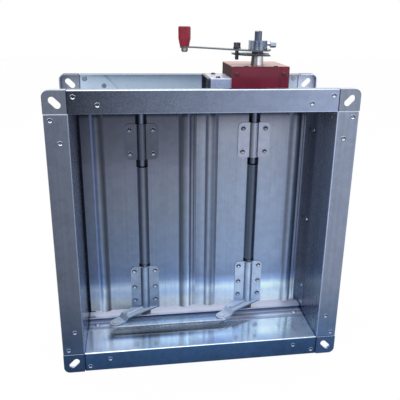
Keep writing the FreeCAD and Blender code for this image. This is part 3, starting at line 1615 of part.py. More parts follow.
bush_roof = f"({roof_z} + bush_flange_thick)"
collar_low = f"({bush_roof} + collar_gap)"
collar_middle = f"({collar_low} + collar_height / 2)"
collar_body = ring("collar_body", "shaft_radius + shaft_seat", "collar_radius", collar_low, "collar_height")
drill = body_sketch(collar_body, "collar_screw_hole", "YZ_Plane", offset=f"collar_radius + {past}",
                    circles=[("0", collar_middle, "collar_screw + hole_gap")])
pocket(collar_body, drill, f"collar_radius - shaft_radius + {past}")
part(place(collar_body, x=drive_x), "shaft_collar")
collar_screw = cylinder("collar_screw_solid", "collar_screw", "collar_radius - shaft_radius",
                        f"{drive_x} + shaft_radius", "0", collar_middle, ((0, 1, 0), 90))
part(collar_screw, "collar_screw")
cap = cylinder("cap_solid", "cap_radius", "stub_depth + cap_sheet", z=collar_low)
cap_bore = cylinder("cap_bore", "shaft_radius + shaft_seat", f"stub_depth - collar_gap + {overlap}",
                    z=f"{collar_low} - {overlap} / 2")
part(place(cut("cap_cut", cap, cap_bore), x=idle_x), "shaft_cap_idle")

# Checks, then one STEP file for each sub-part

doc.recompute()
for item in doc.Objects:
    if "Invalid" in item.State or "Error" in item.State:
        raise ValueError(f"{item.Name} failed: {item.State}")
names = [item.Label for item in PARTS]
if len(set(names)) != len(names):
    raise ValueError("two sub-parts share a name")
os.makedirs("parts", exist_ok=True)
for item in PARTS:
    shape = item.Shape
    if shape.isNull() or not shape.isValid():
        raise ValueError(f"{item.Label} has no valid shape")
    shape.exportStep(f"parts/{item.Label}.step")
    box = shape.BoundBox
    print(f"{item.Label:24} {len(shape.Solids):3} solids {shape.Volume:11.1f} mm3"
          f"  x {box.XMin:7.1f} {box.XMax:7.1f}  y {box.YMin:7.1f} {box.YMax:7.1f}"
          f"  z {box.ZMin:6.1f} {box.ZMax:6.1f}")
print(len(PARTS), "sub-parts")
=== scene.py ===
import bmesh
import bpy
from math import cos, pi, radians, sin
from mathutils import Matrix, Vector


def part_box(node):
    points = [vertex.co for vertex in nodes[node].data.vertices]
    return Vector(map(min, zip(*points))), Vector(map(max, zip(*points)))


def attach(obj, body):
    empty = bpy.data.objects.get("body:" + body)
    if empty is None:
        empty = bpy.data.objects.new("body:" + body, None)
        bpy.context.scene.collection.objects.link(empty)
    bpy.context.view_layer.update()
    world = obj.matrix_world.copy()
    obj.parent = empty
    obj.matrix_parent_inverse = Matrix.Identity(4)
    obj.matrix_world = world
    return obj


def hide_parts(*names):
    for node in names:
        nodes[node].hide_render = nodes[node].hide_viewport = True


# Looks of a two-blade volume control damper, in metres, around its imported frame
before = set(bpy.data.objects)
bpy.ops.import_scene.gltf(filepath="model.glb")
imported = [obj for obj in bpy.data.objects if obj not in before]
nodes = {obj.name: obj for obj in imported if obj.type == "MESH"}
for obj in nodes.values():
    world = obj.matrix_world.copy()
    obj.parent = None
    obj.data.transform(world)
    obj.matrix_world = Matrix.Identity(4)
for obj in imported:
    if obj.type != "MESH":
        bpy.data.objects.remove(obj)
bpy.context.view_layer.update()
print("frame loaded:", len(nodes), "nodes")


class Value:
    # A socket inside a tree; sums and products of values add their Math nodes
    def __init__(self, tree, socket):
        self.tree = tree
        self.socket = socket

    def math(self, operation, *given):
        return self.tree.node("ShaderNodeMath", {"operation": operation}, dict(enumerate(given)))

    def most(self, other):
        return self.math("MAXIMUM", self, other)

    def __add__(self, other):
        return self.math("ADD", self, other)

    def __sub__(self, other):
        return self.math("SUBTRACT", self, other)

    def __rsub__(self, other):
        return self.math("SUBTRACT", other, self)

    def __mul__(self, other):
        return self.math("MULTIPLY", self, other)

    def __abs__(self):
        return self.math("ABSOLUTE", self)

    __radd__ = __add__
    __rmul__ = __mul__


class Tree:
    # A node tree; every node in it comes from the one method below
    def __init__(self, nodeTree):
        self.nodeTree = nodeTree

    def node(self, kind, settings=None, sockets=None, output=0):
        made = self.nodeTree.nodes.new(kind)
        for key, setting in (settings or {}).items():
            if key == "stops":
                elements = made.color_ramp.elements
                while len(elements) < len(setting):
                    elements.new(1.0)
                for stop, (spot, colour) in zip(elements, setting):
                    stop.position, stop.color = spot, colour
            else:
                setattr(made, key, setting)
        for key, given in (sockets or {}).items():
            self.feed(made.inputs[key], given)
        return Value(self, made.outputs[output])

    def feed(self, socket, given):
        if isinstance(given, Value):
            self.nodeTree.links.new(given.socket, socket)
        else:
            socket.default_value = given

    def grade(self, given, low, high, start=0.0, end=1.0):
        return self.node("ShaderNodeMapRange", {"clamp": True},
                         {"Value": given, "From Min": low, "From Max": high, "To Min": start, "To Max": end})

    def near(self, given, middle, half, core, gain):
        # The gain around a middle, full over the core's share of the half width and gone beyond it
        return self.grade(abs(given - middle), half, half * core, 1.0, gain)

    def seenPlain(self):
        # 1 for rays that should meet the plain white of the studio
        camera, glossy, through = (self.node("ShaderNodeLightPath", output=f"Is {ray} Ray")
                                   for ray in ("Camera", "Glossy", "Transmission"))
        return camera.most(glossy.most(through))


# The brightest painted highlight that a ramp of faces can hold
brightest = 2.5


class Finish(Tree):
    # One material: its shader, and the point and the facing of the surface
    def __init__(self, name, plain=None):
        self.material = bpy.data.materials.new(name)
        self.material.use_nodes = True
        super().__init__(self.material.node_tree)
        self.shader = self.nodeTree.nodes["Principled BSDF"]
        self.point = self.node("ShaderNodeTexCoord", output="Object")
        self.show(plain or {})

    def show(self, given):
        for socket, value in given.items():
            self.feed(self.shader.inputs[socket], value)

    def axis(self, letter, of=None):
        return self.node("ShaderNodeSeparateXYZ", None, {0: of or self.point}, output="XYZ".index(letter))

    def facing(self, letter):
        return self.axis(letter, self.node("ShaderNodeTexCoord", output="Normal"))

    def noise(self, scale, detail=3.0, stretch=(1, 1, 1), rough=0.55, move=(0, 0, 0)):
        where = self.node("ShaderNodeMapping", None, {"Vector": self.point, "Scale": stretch, "Location": move})
        return self.node("ShaderNodeTexNoise", None,
                         {"Vector": where, "Scale": scale, "Detail": detail, "Roughness": rough})

    def red(self, colour):
        return self.node("ShaderNodeSeparateColor", None, {0: colour})

    def spangle(self, scale):
        crystals = self.node("ShaderNodeTexVoronoi", {"feature": "F1"}, {"Vector": self.point, "Scale": scale},
                             "Color")
        return self.red(crystals)

    def ramp(self, given, stops):
        return self.node("ShaderNodeValToRGB", {"stops": stops}, {0: given})

    def shades(self, stops):
        # A factor of painted highlight and shade by the way a face turns: 0 is left, 1 is right
        greys = [(spot, (*[shade / brightest] * 3, 1.0)) for spot, shade in stops]
        return brightest * self.red(self.ramp(self.facing("X") * 0.5 + 0.5, greys))

    def mix(self, factor, first, second):
        return self.node("ShaderNodeMix", {"data_type": "RGBA"}, {0: factor, 6: first, 7: second}, output=2)

    def scaled(self, colour, factor):
        if not isinstance(colour, Value):
            colour = colour[:3]
        return self.node("ShaderNodeVectorMath", {"operation": "SCALE"}, {0: colour, "Scale": factor})

    def bump(self, height, distance, strength=0.5, under=None):
        sockets = {"Height": height, "Distance": distance, "Strength": strength}
        if under is not None:
            sockets["Normal"] = under
        return self.node("ShaderNodeBump", None, sockets)


def tint(red, green, blue):
    # A colour as a paint chart gives it, 0 to 255, for a shader socket
    chart = [part / 255 for part in (red, green, blue)]
    return (*[part / 12.92 if part < 0.0405 else ((part + 0.055) / 1.055) ** 2.4 for part in chart], 1.0)


# Galvanised sheet. Each sheet adds "rise", its colours by height in millimetres with painted reflections and
# painted
# shade, to this look: "up" is the colour of faces that look up, a painted light, "tilt" how much paler the sheet is
# painted towards the right, as painted light, and "tiltFrom" how much of that holds near the floor. Scales of the
# noise come first, depths after them; "rolled" and "scratched" stretch the mill lines and scratches; "matte" with a
# place's name takes the metal's mirror away there; "flanks" are the painted highlights and shade of faces from left
# to right, each list from its own x on; "walls" are the painted shades of the left and right walls' insides,
# "seams" the painted shade in the joints beside other sheets, "folds" the painted pale highlight lines of the front
# flange, "patches" and
# "upPatches" zones along x of painted light and shade, of all faces but those that look up and of those that do,
# and
# "stripes" zones along y of painted highlight and shade lines on faces that look up. The last keys are single
# places:
# the painted shade on the strip of a blade behind the drive's shaft ("dark"), the painted highlight on the ends of
# the beads ("foot"), the painted shade in the stand's open end ("hollow"), the link's painted dark reflection on
# the floor ("band"), the painted highlight and shade of the link's front edge and underside ("deepen", "lip",
# "below"), the outside of the casing ("outer"), the back flange with its painted pale reflection ("back", "arms")
# and the painted light and shade in the joints beside the corners' lugs ("groove")
sheetLook = {
    "up": tint(205, 220, 240), "tilt": 0.24, "tiltFrom": 1.0,
    "rolled": (1, 1, 0.012), "scratched": (1, 1, 0.004),
    "streaks": 260, "grain": 2300, "spangle": 110, "clouds": 16, "mottling": 680, "scratches": 520,
    "marks": 70, "waves": 7,
    "streakDepth": 0.34, "grainDepth": 0.16, "spangleDepth": 0.10, "grit": 1.0, "cloud": 0.10, "mottle": 0.05,
    "lines": 0.0, "roughness": (0.22, 0.34), "bumps": 0.5, "bumpDepth": 0.00002, "waveDepth": 0.0004,
    "matte": 0.0, "matteUp": 0.0, "matteAside": 0.0, "matteBack": 0.0, "matteLow": 0.0,
    "flanks": [], "walls": None, "seams": [], "folds": [], "patches": [], "upPatches": [], "stripes": [],
    "flankBlend": 0.003, "seamShade": 0.18, "patchCore": 0.6, "stripeCore": 0.3,
    "dark": None, "foot": None, "hollow": None, "band": None, "deepen": None, "lip": None, "below": None,
    "outer": None, "back": None, "backTone": (0.12, 0.86), "arms": None, "armEdge": 0.2007, "groove": None}
# Height in millimetres that the ramps cover, and half the flanges' width in metres
riseSpan = 470
halfWidth = 0.235
# Zones that run from a first to a second value, by the way faces turn, by place in metres or by noise;
# they give 0 to 1, or the third and fourth number
zones = {
    "aside": (0.25, 0.60), "level": (0.30, 0.90), "ahead": (-0.30, -0.80), "toBack": (0.30, 0.80),
    "down": (-0.3, -0.8), "toRight": (0.5, 0.9), "toLeft": (-0.5, -0.9), "beadLeft": (-0.06, -0.20),
    "inside": (0.2008, 0.2003), "backHalf": (0.04, 0.06), "tilted": (0.05, 0.43), "lowMatte": (0.085, 0.062),
    "mottleFront": (-0.09, -0.10), "mottleLeft": (0.08, -0.12, 0.02), "standMouth": (-0.0402, -0.0396, 0.0, 0.9),
    "offPlane": (0.0010, 0.0030), "beadFront": (-0.0042, -0.0026), "beadPlane": (0.0006, 0.0),
    "beadSide": (-0.075, -0.085), "beadFoot": (0.115, 0.13, 0.3, 0.8), "fold": (0.0014, 0.0007, 0.0, 0.9),
    "frontFace": (-0.1020, -0.1030), "frontEdge": (-0.102, -0.100, 1.0, 0.45),
    "backEdge": (0.097, 0.099, 1.0, 0.3), "arm": (0.2012, 0.2008), "armJoint": (0.0004, 0.0014, 0.22, 1.0),
    "grooveDepth": (0.0003, 0.0001), "grooveEdge": (0.0009, 0.0006),
    "scratch": (0.70, 0.74), "spread": (0.35, 0.65), "mottled": (0.35, 0.65, -1.0, 1.0)}


class Sheet(Finish):
    # Galvanised sheet: where a point lies and which way it faces decide its tone, much of it painted light and
    # shade
    def __init__(self, name, changes):
        super().__init__(name)
        self.look = {**sheetLook, **changes}
        self.x, self.y, self.z = (self.axis(letter) for letter in "XYZ")
        self.turn = self.facing("X")
        self.aside = self.zone("aside", abs(self.turn))
        self.level = self.zone("level", self.facing("Z"))
        self.ahead = self.zone("ahead", self.facing("Y"))
        self.inside = self.zone("inside", abs(self.x))
        self.behind = self.zone("backHalf", self.y) * self.ahead
        self.streaks = self.noise(self.look["streaks"], 4, self.look["rolled"], 0.65)
        self.grain = self.noise(self.look["grain"], 2)

    def zone(self, name, given, *ends):
        return self.grade(given, *zones[name], *ends)

    def along(self, letter):
        return abs(self.x) if letter == "x" else self.z

    def lightPatch(self, low, high, gain):
        # A zone along x of painted light or shade
        return self.near(self.x, (low + high) / 2, (high - low) / 2, self.look["patchCore"], gain)

    def millTone(self):
        # Mill lines, grain, zinc crystals and clouds, each about a mean of nothing
        look = self.look
        crystals = look["spangleDepth"] * (self.spangle(look["spangle"]) - 0.5)
        grit = look["grit"] * (look["grainDepth"] * (self.grain - 0.5) + crystals)
        tone = 1.0 + look["streakDepth"] * (self.streaks - 0.5) + grit
        tone = tone + look["cloud"] * (self.noise(look["clouds"], 3) - 0.5)
        if look["mottle"]:
            fine = self.zone("mottled", self.noise(look["mottling"], 2)) * self.zone("mottleFront", self.y)
            tone = tone + fine * self.zone("mottleLeft", self.x, look["mottle"])
        return tone

    def bendTone(self, tone):
        # Painted highlights and shade of beads, walls and hollows, by the way their faces turn
        look, x, y = self.look, self.x, self.y
        if look["hollow"]:
            # Painted shade inside the stand's open end
            tone = tone * (1.0 - self.grade(x, *look["hollow"]) * self.zone("standMouth", y))
        # Painted shade on the strip behind the drive's shaft
        if look["dark"]:
            dark = look["dark"]
            tone = tone * self.near(x, dark["middle"], dark["half"], dark["core"], dark["depth"])
        # Painted highlights and shade across the beads
        if look["flanks"]:
            (_, stops), *others = look["flanks"]
            shade = self.shades(stops)
            for start, stops in others:
                reached = self.grade(x, start - look["flankBlend"], start + look["flankBlend"])
                shade = shade + (self.shades(stops) - shade) * reached
            raised = self.zone("offPlane", abs(y)) if look["foot"] else 1.0
            tone = tone * (1.0 + raised * (shade - 1.0))
        if look["foot"]:
            # Painted highlight on the foot of the beads on the left
            foot = self.zone("beadFront", y) * self.zone("beadPlane", y) * self.zone("beadSide", x)
            tone = tone * (1.0 + look["foot"]["gain"] * foot * self.zone("beadLeft", self.turn))
        # Painted light and shade on the insides of the left and right walls
        if look["walls"]:
            left, right = look["walls"]
            walls = self.zone("toRight", self.turn, 0.0, left - 1.0)
            walls = walls + self.zone("toLeft", self.turn, 0.0, right - 1.0)
            tone = tone * (1.0 + self.inside * walls)
        return tone

    def edgeTone(self, tone):
        # Painted dark reflection of the link along the floor, painted shade in the joints and painted highlights on
        # the folds
        look, x, y = self.look, self.x, self.y
        if look["band"]:
            band = look["band"]
            under = self.grade(y, *band["front"]) * self.grade(y, *band["back"]) * self.grade(x, *band["start"])
            tone = tone * (1.0 - under * self.grade(x, *band["fade"]))
        for letter, edge, reach in look["seams"]:
            tone = tone * self.near(self.along(letter), edge, reach, 0.0, look["seamShade"])
        for letter, edge in look["folds"]:
            line = self.zone("fold", abs(self.along(letter) - edge))
            tone = tone * (1.0 + line * self.zone("frontFace", y))
        return tone

    def upwardTone(self, tone):
        # Painted light and shade that differ on the faces that look up
        look, y = self.look, self.y
        if look["back"]:
            tone = tone * self.zone("frontEdge", y) * self.zone("backEdge", y)
        for low, high, gain in look["upPatches"]:
            tone = tone * self.lightPatch(low, high, gain)
        if look["deepen"]:
            tone = tone * self.grade(y, *look["deepen"])
        for middle, half, gain in look["stripes"]:
            tone = tone * self.near(y, middle, half, look["stripeCore"], gain)
        return tone

    def heightColour(self, tone):
        # Colours by height carry painted reflections and shade; the sheet is painted paler to the right, turned
        # faces at the beads' feet take a painted shade and the drive's middle strip a painted dark
        look, x, z = self.look, self.x, self.z
        stops = [(height / riseSpan, colour) for height, colour in look["rise"]]
        colour = self.ramp(z * (1000 / riseSpan), stops)
        if look["foot"]:
            colour = self.mix(self.aside * self.zone("beadFoot", z), colour, look["foot"]["colour"])
        tilt = look["tilt"] * (x * (1 / halfWidth)) * self.zone("tilted", z, look["tiltFrom"], 1.0)
        colour = self.scaled(colour, tone * (1.0 + tilt * self.ahead))
        if look["dark"]:
            dark = look["dark"]
            full = dark["half"] * dark["core"]
            within = self.grade(abs(x - dark["middle"]), dark["half"], full, 0.0, dark["share"])
            colour = self.mix(within, colour, dark["colour"])
        return colour

    def hiddenColour(self, colour, tone):
        # Faces that can't be seen from the front keep a plain zinc; the back flange is painted pale towards the
        # front as a painted reflection, darker at its arms' joints as painted shade, and the link's lower front and
        # underside take a painted dark shade
        look = self.look
        swing, least = look["backTone"]
        plain = swing * tone + least
        if look["outer"]:
            outer = (1.0 - self.ahead) * (1.0 - self.inside).most(self.zone("toBack", self.facing("Y")))
            colour = self.mix(outer, colour, self.scaled(look["outer"], tone))
        if look["back"]:
            colour = self.mix(self.behind, colour, self.scaled(look["back"], plain))
        if look["arms"]:
            colour = self.mix(self.behind * self.zone("arm", abs(self.x)), colour, self.scaled(look["arms"], plain))
            colour = self.scaled(colour, self.zone("armJoint", abs(abs(self.x) - look["armEdge"])))
        if look["below"]:
            low = self.grade(self.z, *look["below"]["edge"]) * self.ahead
            under = self.zone("down", self.facing("Z")) * self.grade(self.y, *look["below"]["rear"])
            colour = self.mix(low.most(under), colour, look["below"]["colour"])
        return colour

    def fineColour(self, colour):
        # Scratches along the rolling, and painted light and shade on the arm at the bottom of the joints beside a
        # corner's lug:
        # painted pale where the joint runs level, painted dark where it stands upright
        look = self.look
        if look["lines"]:
            lines = self.zone("scratch", self.noise(look["scratches"], 2, look["scratched"], 0.5, (9, 4, 0)))
            colour = self.mix(lines * look["lines"], colour, look["up"])
        if look["groove"]:
            groove = look["groove"]
            shown = self.zone("grooveDepth", abs(abs(self.y) - groove["depth"]))
            upright = self.zone("grooveEdge", abs(abs(self.x) - groove["edge"]))
            colour = self.mix(shown, colour, self.mix(upright, groove["level"], groove["upright"]))
        return colour

    def metallic(self):
        look = self.look
        low = (1.0 - self.aside) * self.zone("lowMatte", self.z)
        return (1.0 - look["matte"] - look["matteUp"] * self.level - look["matteAside"] * self.aside
                - look["matteBack"] * self.behind - look["matteLow"] * low)


def galvanised(name, changes):
    sheet = Sheet(name, changes)
    look = sheet.look
    tone = sheet.edgeTone(sheet.bendTone(sheet.millTone()))
    upTone = sheet.upwardTone(tone)
    for low, high, gain in look["patches"]:
        tone = tone * sheet.lightPatch(low, high, gain)
    # Painted highlight: the link's front lip keeps its pale rise colour, not the colour of faces that look up
    if look["lip"]:
        sheet.level = sheet.level * sheet.grade(sheet.y, *look["lip"], 1.0, 0.0)
    colour = sheet.hiddenColour(sheet.heightColour(tone), tone)
    # Faces that look up take the painted light of the up colour
    colour = sheet.mix(sheet.level, colour, sheet.scaled(look["up"], upTone))
    marks = sheet.noise(look["marks"], 6, (1, 1, 0.5), 0.7, (5, 2, 1))
    low, high = look["roughness"]
    waves = sheet.bump(sheet.noise(look["waves"], 1), look["waveDepth"])
    drawn = sheet.bump(sheet.streaks, look["bumpDepth"], look["bumps"], waves)
    sheet.show({"Base Color": sheet.fineColour(colour),
                "Metallic": sheet.metallic(),
                "Roughness": low + (high - low) * sheet.zone("spread", marks * 0.6 + sheet.streaks * 0.4),
                "Normal": sheet.bump(sheet.grain, look["bumpDepth"], look["bumps"], drawn)})
    return sheet.material


# Zinc-plated pressings and turned pieces. Colours run from "deep" to "pale" within "contrast"; faces that look up
# or down take "up" and "under", a painted light and a painted shade, and "upLow" replaces "up" near the floor as a
# painted reflection; "flanks" are painted highlights and shade by the way faces turn; "drawn" stretches the grain
plateLook = {
    "pale": tint(186, 192, 208), "deep": tint(140, 147, 166), "contrast": (0.34, 0.66), "drawn": (1, 1, 1),
    "clouds": 70, "grain": 1900, "bumpDepth": 0.00003,
    "up": tint(235, 238, 244), "upLow": None, "upFrom": (0.35, 0.90), "floorZone": (0.06, 0.20),
    "under": tint(60, 66, 84), "aside": (0.20, 0.55),
    "speck": tint(70, 72, 84), "specks": 260, "specked": (0.70, 0.76), "speckRough": 0.20, "dirt": 0.6,
    "roughness": (0.28, 0.42),
    "matte": 0.0, "matteAside": 0.0, "matteUp": 0.0,
    "flanks": [(0.0, 0.40), (0.22, 0.50), (0.40, 0.88), (0.50, 1.0), (0.60, 1.35), (0.72, 0.75), (1.0, 0.35)]}


def plated(name, changes):
    look = {**plateLook, **changes}
    finish = Finish(name)
    cloud = finish.noise(look["clouds"], 5, look["drawn"])
    grain = finish.noise(look["grain"], 3, look["drawn"])
    specks = finish.grade(finish.noise(look["specks"], 4, move=(3, 1, 7)), *look["specked"])
    clean = finish.mix(finish.grade(cloud * 0.5 + grain * 0.5, *look["contrast"]), look["deep"], look["pale"])
    # Painted highlights and shade by the way faces turn
    clean = finish.scaled(clean, finish.shades(look["flanks"]))
    aside = finish.grade(abs(finish.facing("X")), *look["aside"])
    height = finish.facing("Z")
    # Painted light on faces that look up and painted shade on faces that look down
    begin, full = look["upFrom"]
    level = finish.grade(height, begin, full)
    bright = look["up"]
    if look["upLow"]:
        bright = finish.mix(finish.grade(finish.axis("Z"), *look["floorZone"]), look["upLow"], bright)
    clean = finish.mix(level, clean, bright)
    clean = finish.mix(finish.grade(height, -begin, -full), clean, look["under"])
    low, high = look["roughness"]
    finish.show({"Base Color": finish.mix(specks * look["dirt"], clean, look["speck"]),
                 "Metallic": 1.0 - look["matte"] - look["matteAside"] * aside - look["matteUp"] * level,
                 "Roughness": low + (high - low) * cloud + look["speckRough"] * specks,
                 "Normal": finish.bump(grain, look["bumpDepth"])})
    return finish.material


# Crimson paint over sheet, with a little orange peel and dust. "left" is the painted shade of faces turned left,
# and also the colour of the upright joints at "lines" and of the zone at "tabs"; "top" is the colour of faces
# turned up, partly dust and partly painted light
paintLook = {"fresh": tint(128, 38, 62), "dull": tint(114, 36, 58), "dust": tint(176, 132, 130),
             "top": tint(186, 140, 134), "left": tint(58, 30, 32), "roughness": 0.36, "coat": 0.25,
             "fading": 30, "dusting": 160, "dusted": (0.60, 0.80), "topDustAndSheen": 45, "turnedUp": (0.4, 0.8),
             "turnedLeft": (-0.4, -0.8), "peel": 420, "peelDepth": 0.00004, "grain": 900, "grainDepth": 0.00001,
             "dustShare": 0.16, "topSheenShare": 0.5, "dustRough": 0.20, "dustDull": 0.2, "turnedRough": 0.40,
             "lines": [], "lineZone": (0.0008, 0.0004, 0.0, 0.55), "tabs": None}


def painted(name, changes):
    look = {**paintLook, **changes}
    finish = Finish(name, {"Metallic": 0.0, "Coat Roughness": 0.12, "Specular IOR Level": 0.25})
    dust = finish.grade(finish.noise(look["dusting"], 6, rough=0.75), *look["dusted"])
    coat = finish.mix(finish.grade(finish.noise(look["fading"], 5), *zones["spread"]), look["dull"], look["fresh"])
    coat = finish.mix(dust * look["dustShare"], coat, look["dust"])
    # Painted shade on faces turned left, which are also rougher and lose the coat
    shaded = finish.grade(finish.facing("X"), *look["turnedLeft"])
    if look["left"]:
        coat = finish.mix(shaded, coat, look["left"])
    # Faces turned up take the top colour, partly dust and partly painted light
    if look["top"]:
        upward = finish.grade(finish.facing("Z"), *look["turnedUp"])
        coat = finish.mix(upward * (look["topSheenShare"] + finish.noise(look["topDustAndSheen"], 4)), coat, look["top"])
    for place in look["lines"]:
        line = finish.grade(abs(finish.axis("X") - place), *look["lineZone"])
        coat = finish.mix(line, coat, look["left"])
    if look["tabs"]:
        coat = finish.mix(finish.grade(finish.axis("Z"), *look["tabs"]), coat, look["left"])
    peel = finish.bump(finish.noise(look["peel"], 2), look["peelDepth"])
    finish.show({"Base Color": coat,
                 "Roughness": look["roughness"] + look["dustRough"] * dust + look["turnedRough"] * shaded,
                 "Coat Weight": (look["coat"] - look["dustDull"] * dust) * (1.0 - shaded),
                 "Normal": finish.bump(finish.noise(look["grain"], 3), look["grainDepth"], 0.5, peel)})
    return finish.material


# Blackened screws, bare metal where tools have rubbed
blackLook = {"black": tint(66, 68, 78), "bare": tint(196, 198, 206), "wear": 500, "worn": (0.58, 0.72),
             "roughness": 0.46, "shine": 0.16, "grain": 2400, "bumpDepth": 0.00003}


def blackened(name, look):
    finish = Finish(name, {"Metallic": 1.0})
    rubbed = finish.grade(finish.noise(look["wear"], 5), *look["worn"])
    finish.show({"Base Color": finish.mix(rubbed, look["black"], look["bare"]),
                 "Roughness": look["roughness"] - look["shine"] * rubbed,
                 "Normal": finish.bump(finish.noise(look["grain"], 2), look["bumpDepth"])})
    return finish.material


plasticLook = {"light": tint(84, 88, 98), "dark": tint(60, 63, 70), "clouds": 120, "grain": 1400,
               "roughness": 0.45, "grainRough": 0.2, "bumpDepth": 0.00003}


def plastic(name, look):
    finish = Finish(name, {"Metallic": 0.0})
    fine = finish.noise(look["grain"], 3)
    finish.show({"Base Color": finish.mix(finish.noise(look["clouds"], 4), look["dark"], look["light"]),
                 "Roughness": look["roughness"] + look["grainRough"] * fine,
                 "Normal": finish.bump(fine, look["bumpDepth"])})
    return finish.material


def even(colour):
    return [(0, colour), (riseSpan, colour)]


across = (0.012, 1, 1)
zinc = tint(150, 158, 174)
# Painted pale reflection on the front faces of the back flange and its arms
paleBackReflection = tint(212, 234, 255)
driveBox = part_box("upper_shaft_drive")
driveX = (driveBox[0].x + driveBox[1].x) / 2

# Painted highlights and shade of the rolled beads, from faces turned left to faces turned right; the first bead is
# painted as lit from the left
firstBead = [(0.0, 2.4), (0.24, 2.1), (0.33, 2.4), (0.41, 2.2), (0.50, 1.36), (0.59, 0.80), (0.67, 0.45),
             (0.76, 0.30), (0.85, 0.42), (0.95, 1.1), (1.0, 1.2)]
otherBeads = [(0.0, 0.55), (0.15, 0.50), (0.24, 0.42), (0.33, 0.45), (0.42, 0.68), (0.52, 0.90), (0.60, 0.95),
              (0.68, 0.58), (0.77, 0.30), (0.87, 0.40), (1.0, 0.55)]
lapBead = [(0.0, 0.45), (0.15, 0.42), (0.24, 0.36), (0.33, 0.38), (0.42, 0.60), (0.52, 0.90), (0.62, 1.25),
           (0.70, 1.9), (0.78, 0.8), (0.85, 0.08), (0.95, 0.04), (1.0, 0.10)]
nextBead = [(0.0, 0.40), (0.14, 0.32), (0.20, 0.38), (0.27, 0.62), (0.34, 0.98), (0.42, 0.84), (0.48, 0.64),
            (0.55, 0.46), (0.64, 0.58), (0.72, 0.86), (0.82, 1.10), (1.0, 1.2)]
# Blades: colours by height paint a reflection of the floor, bright near the bottom, and a shade under the top
# flange; the foot adds a painted highlight and a painted shade, and the patches paint shade where the blades meet
# and on the first bead
bladeLook = {
    "rise": [(48, tint(222, 236, 255)), (69, tint(220, 238, 255)), (82, tint(190, 214, 252)),
             (95, tint(200, 224, 255)), (108, tint(130, 156, 198)), (121, tint(112, 134, 174)),
             (150, tint(116, 136, 170)), (260, tint(122, 134, 155)), (320, tint(120, 127, 148)),
             (345, tint(106, 112, 130)), (372, tint(98, 104, 122)), (400, tint(90, 94, 111)),
             (409, tint(86, 90, 106)), (414, tint(46, 50, 62))],
    "up": tint(92, 100, 118), "tilt": 0.5, "tiltFrom": 0.95, "roughness": (0.30, 0.42), "lines": 0.30,
    "flanks": [(-1, firstBead), (-0.13, otherBeads), (-0.065, lapBead), (-0.012, nextBead), (0.045, otherBeads)],
    "foot": {"gain": 2.0, "colour": tint(104, 116, 142)}, "matteAside": 0.65, "matteLow": 0.8,
    "patches": [(-0.024, 0.008, 0.84), (-0.177, -0.157, 0.95)]}
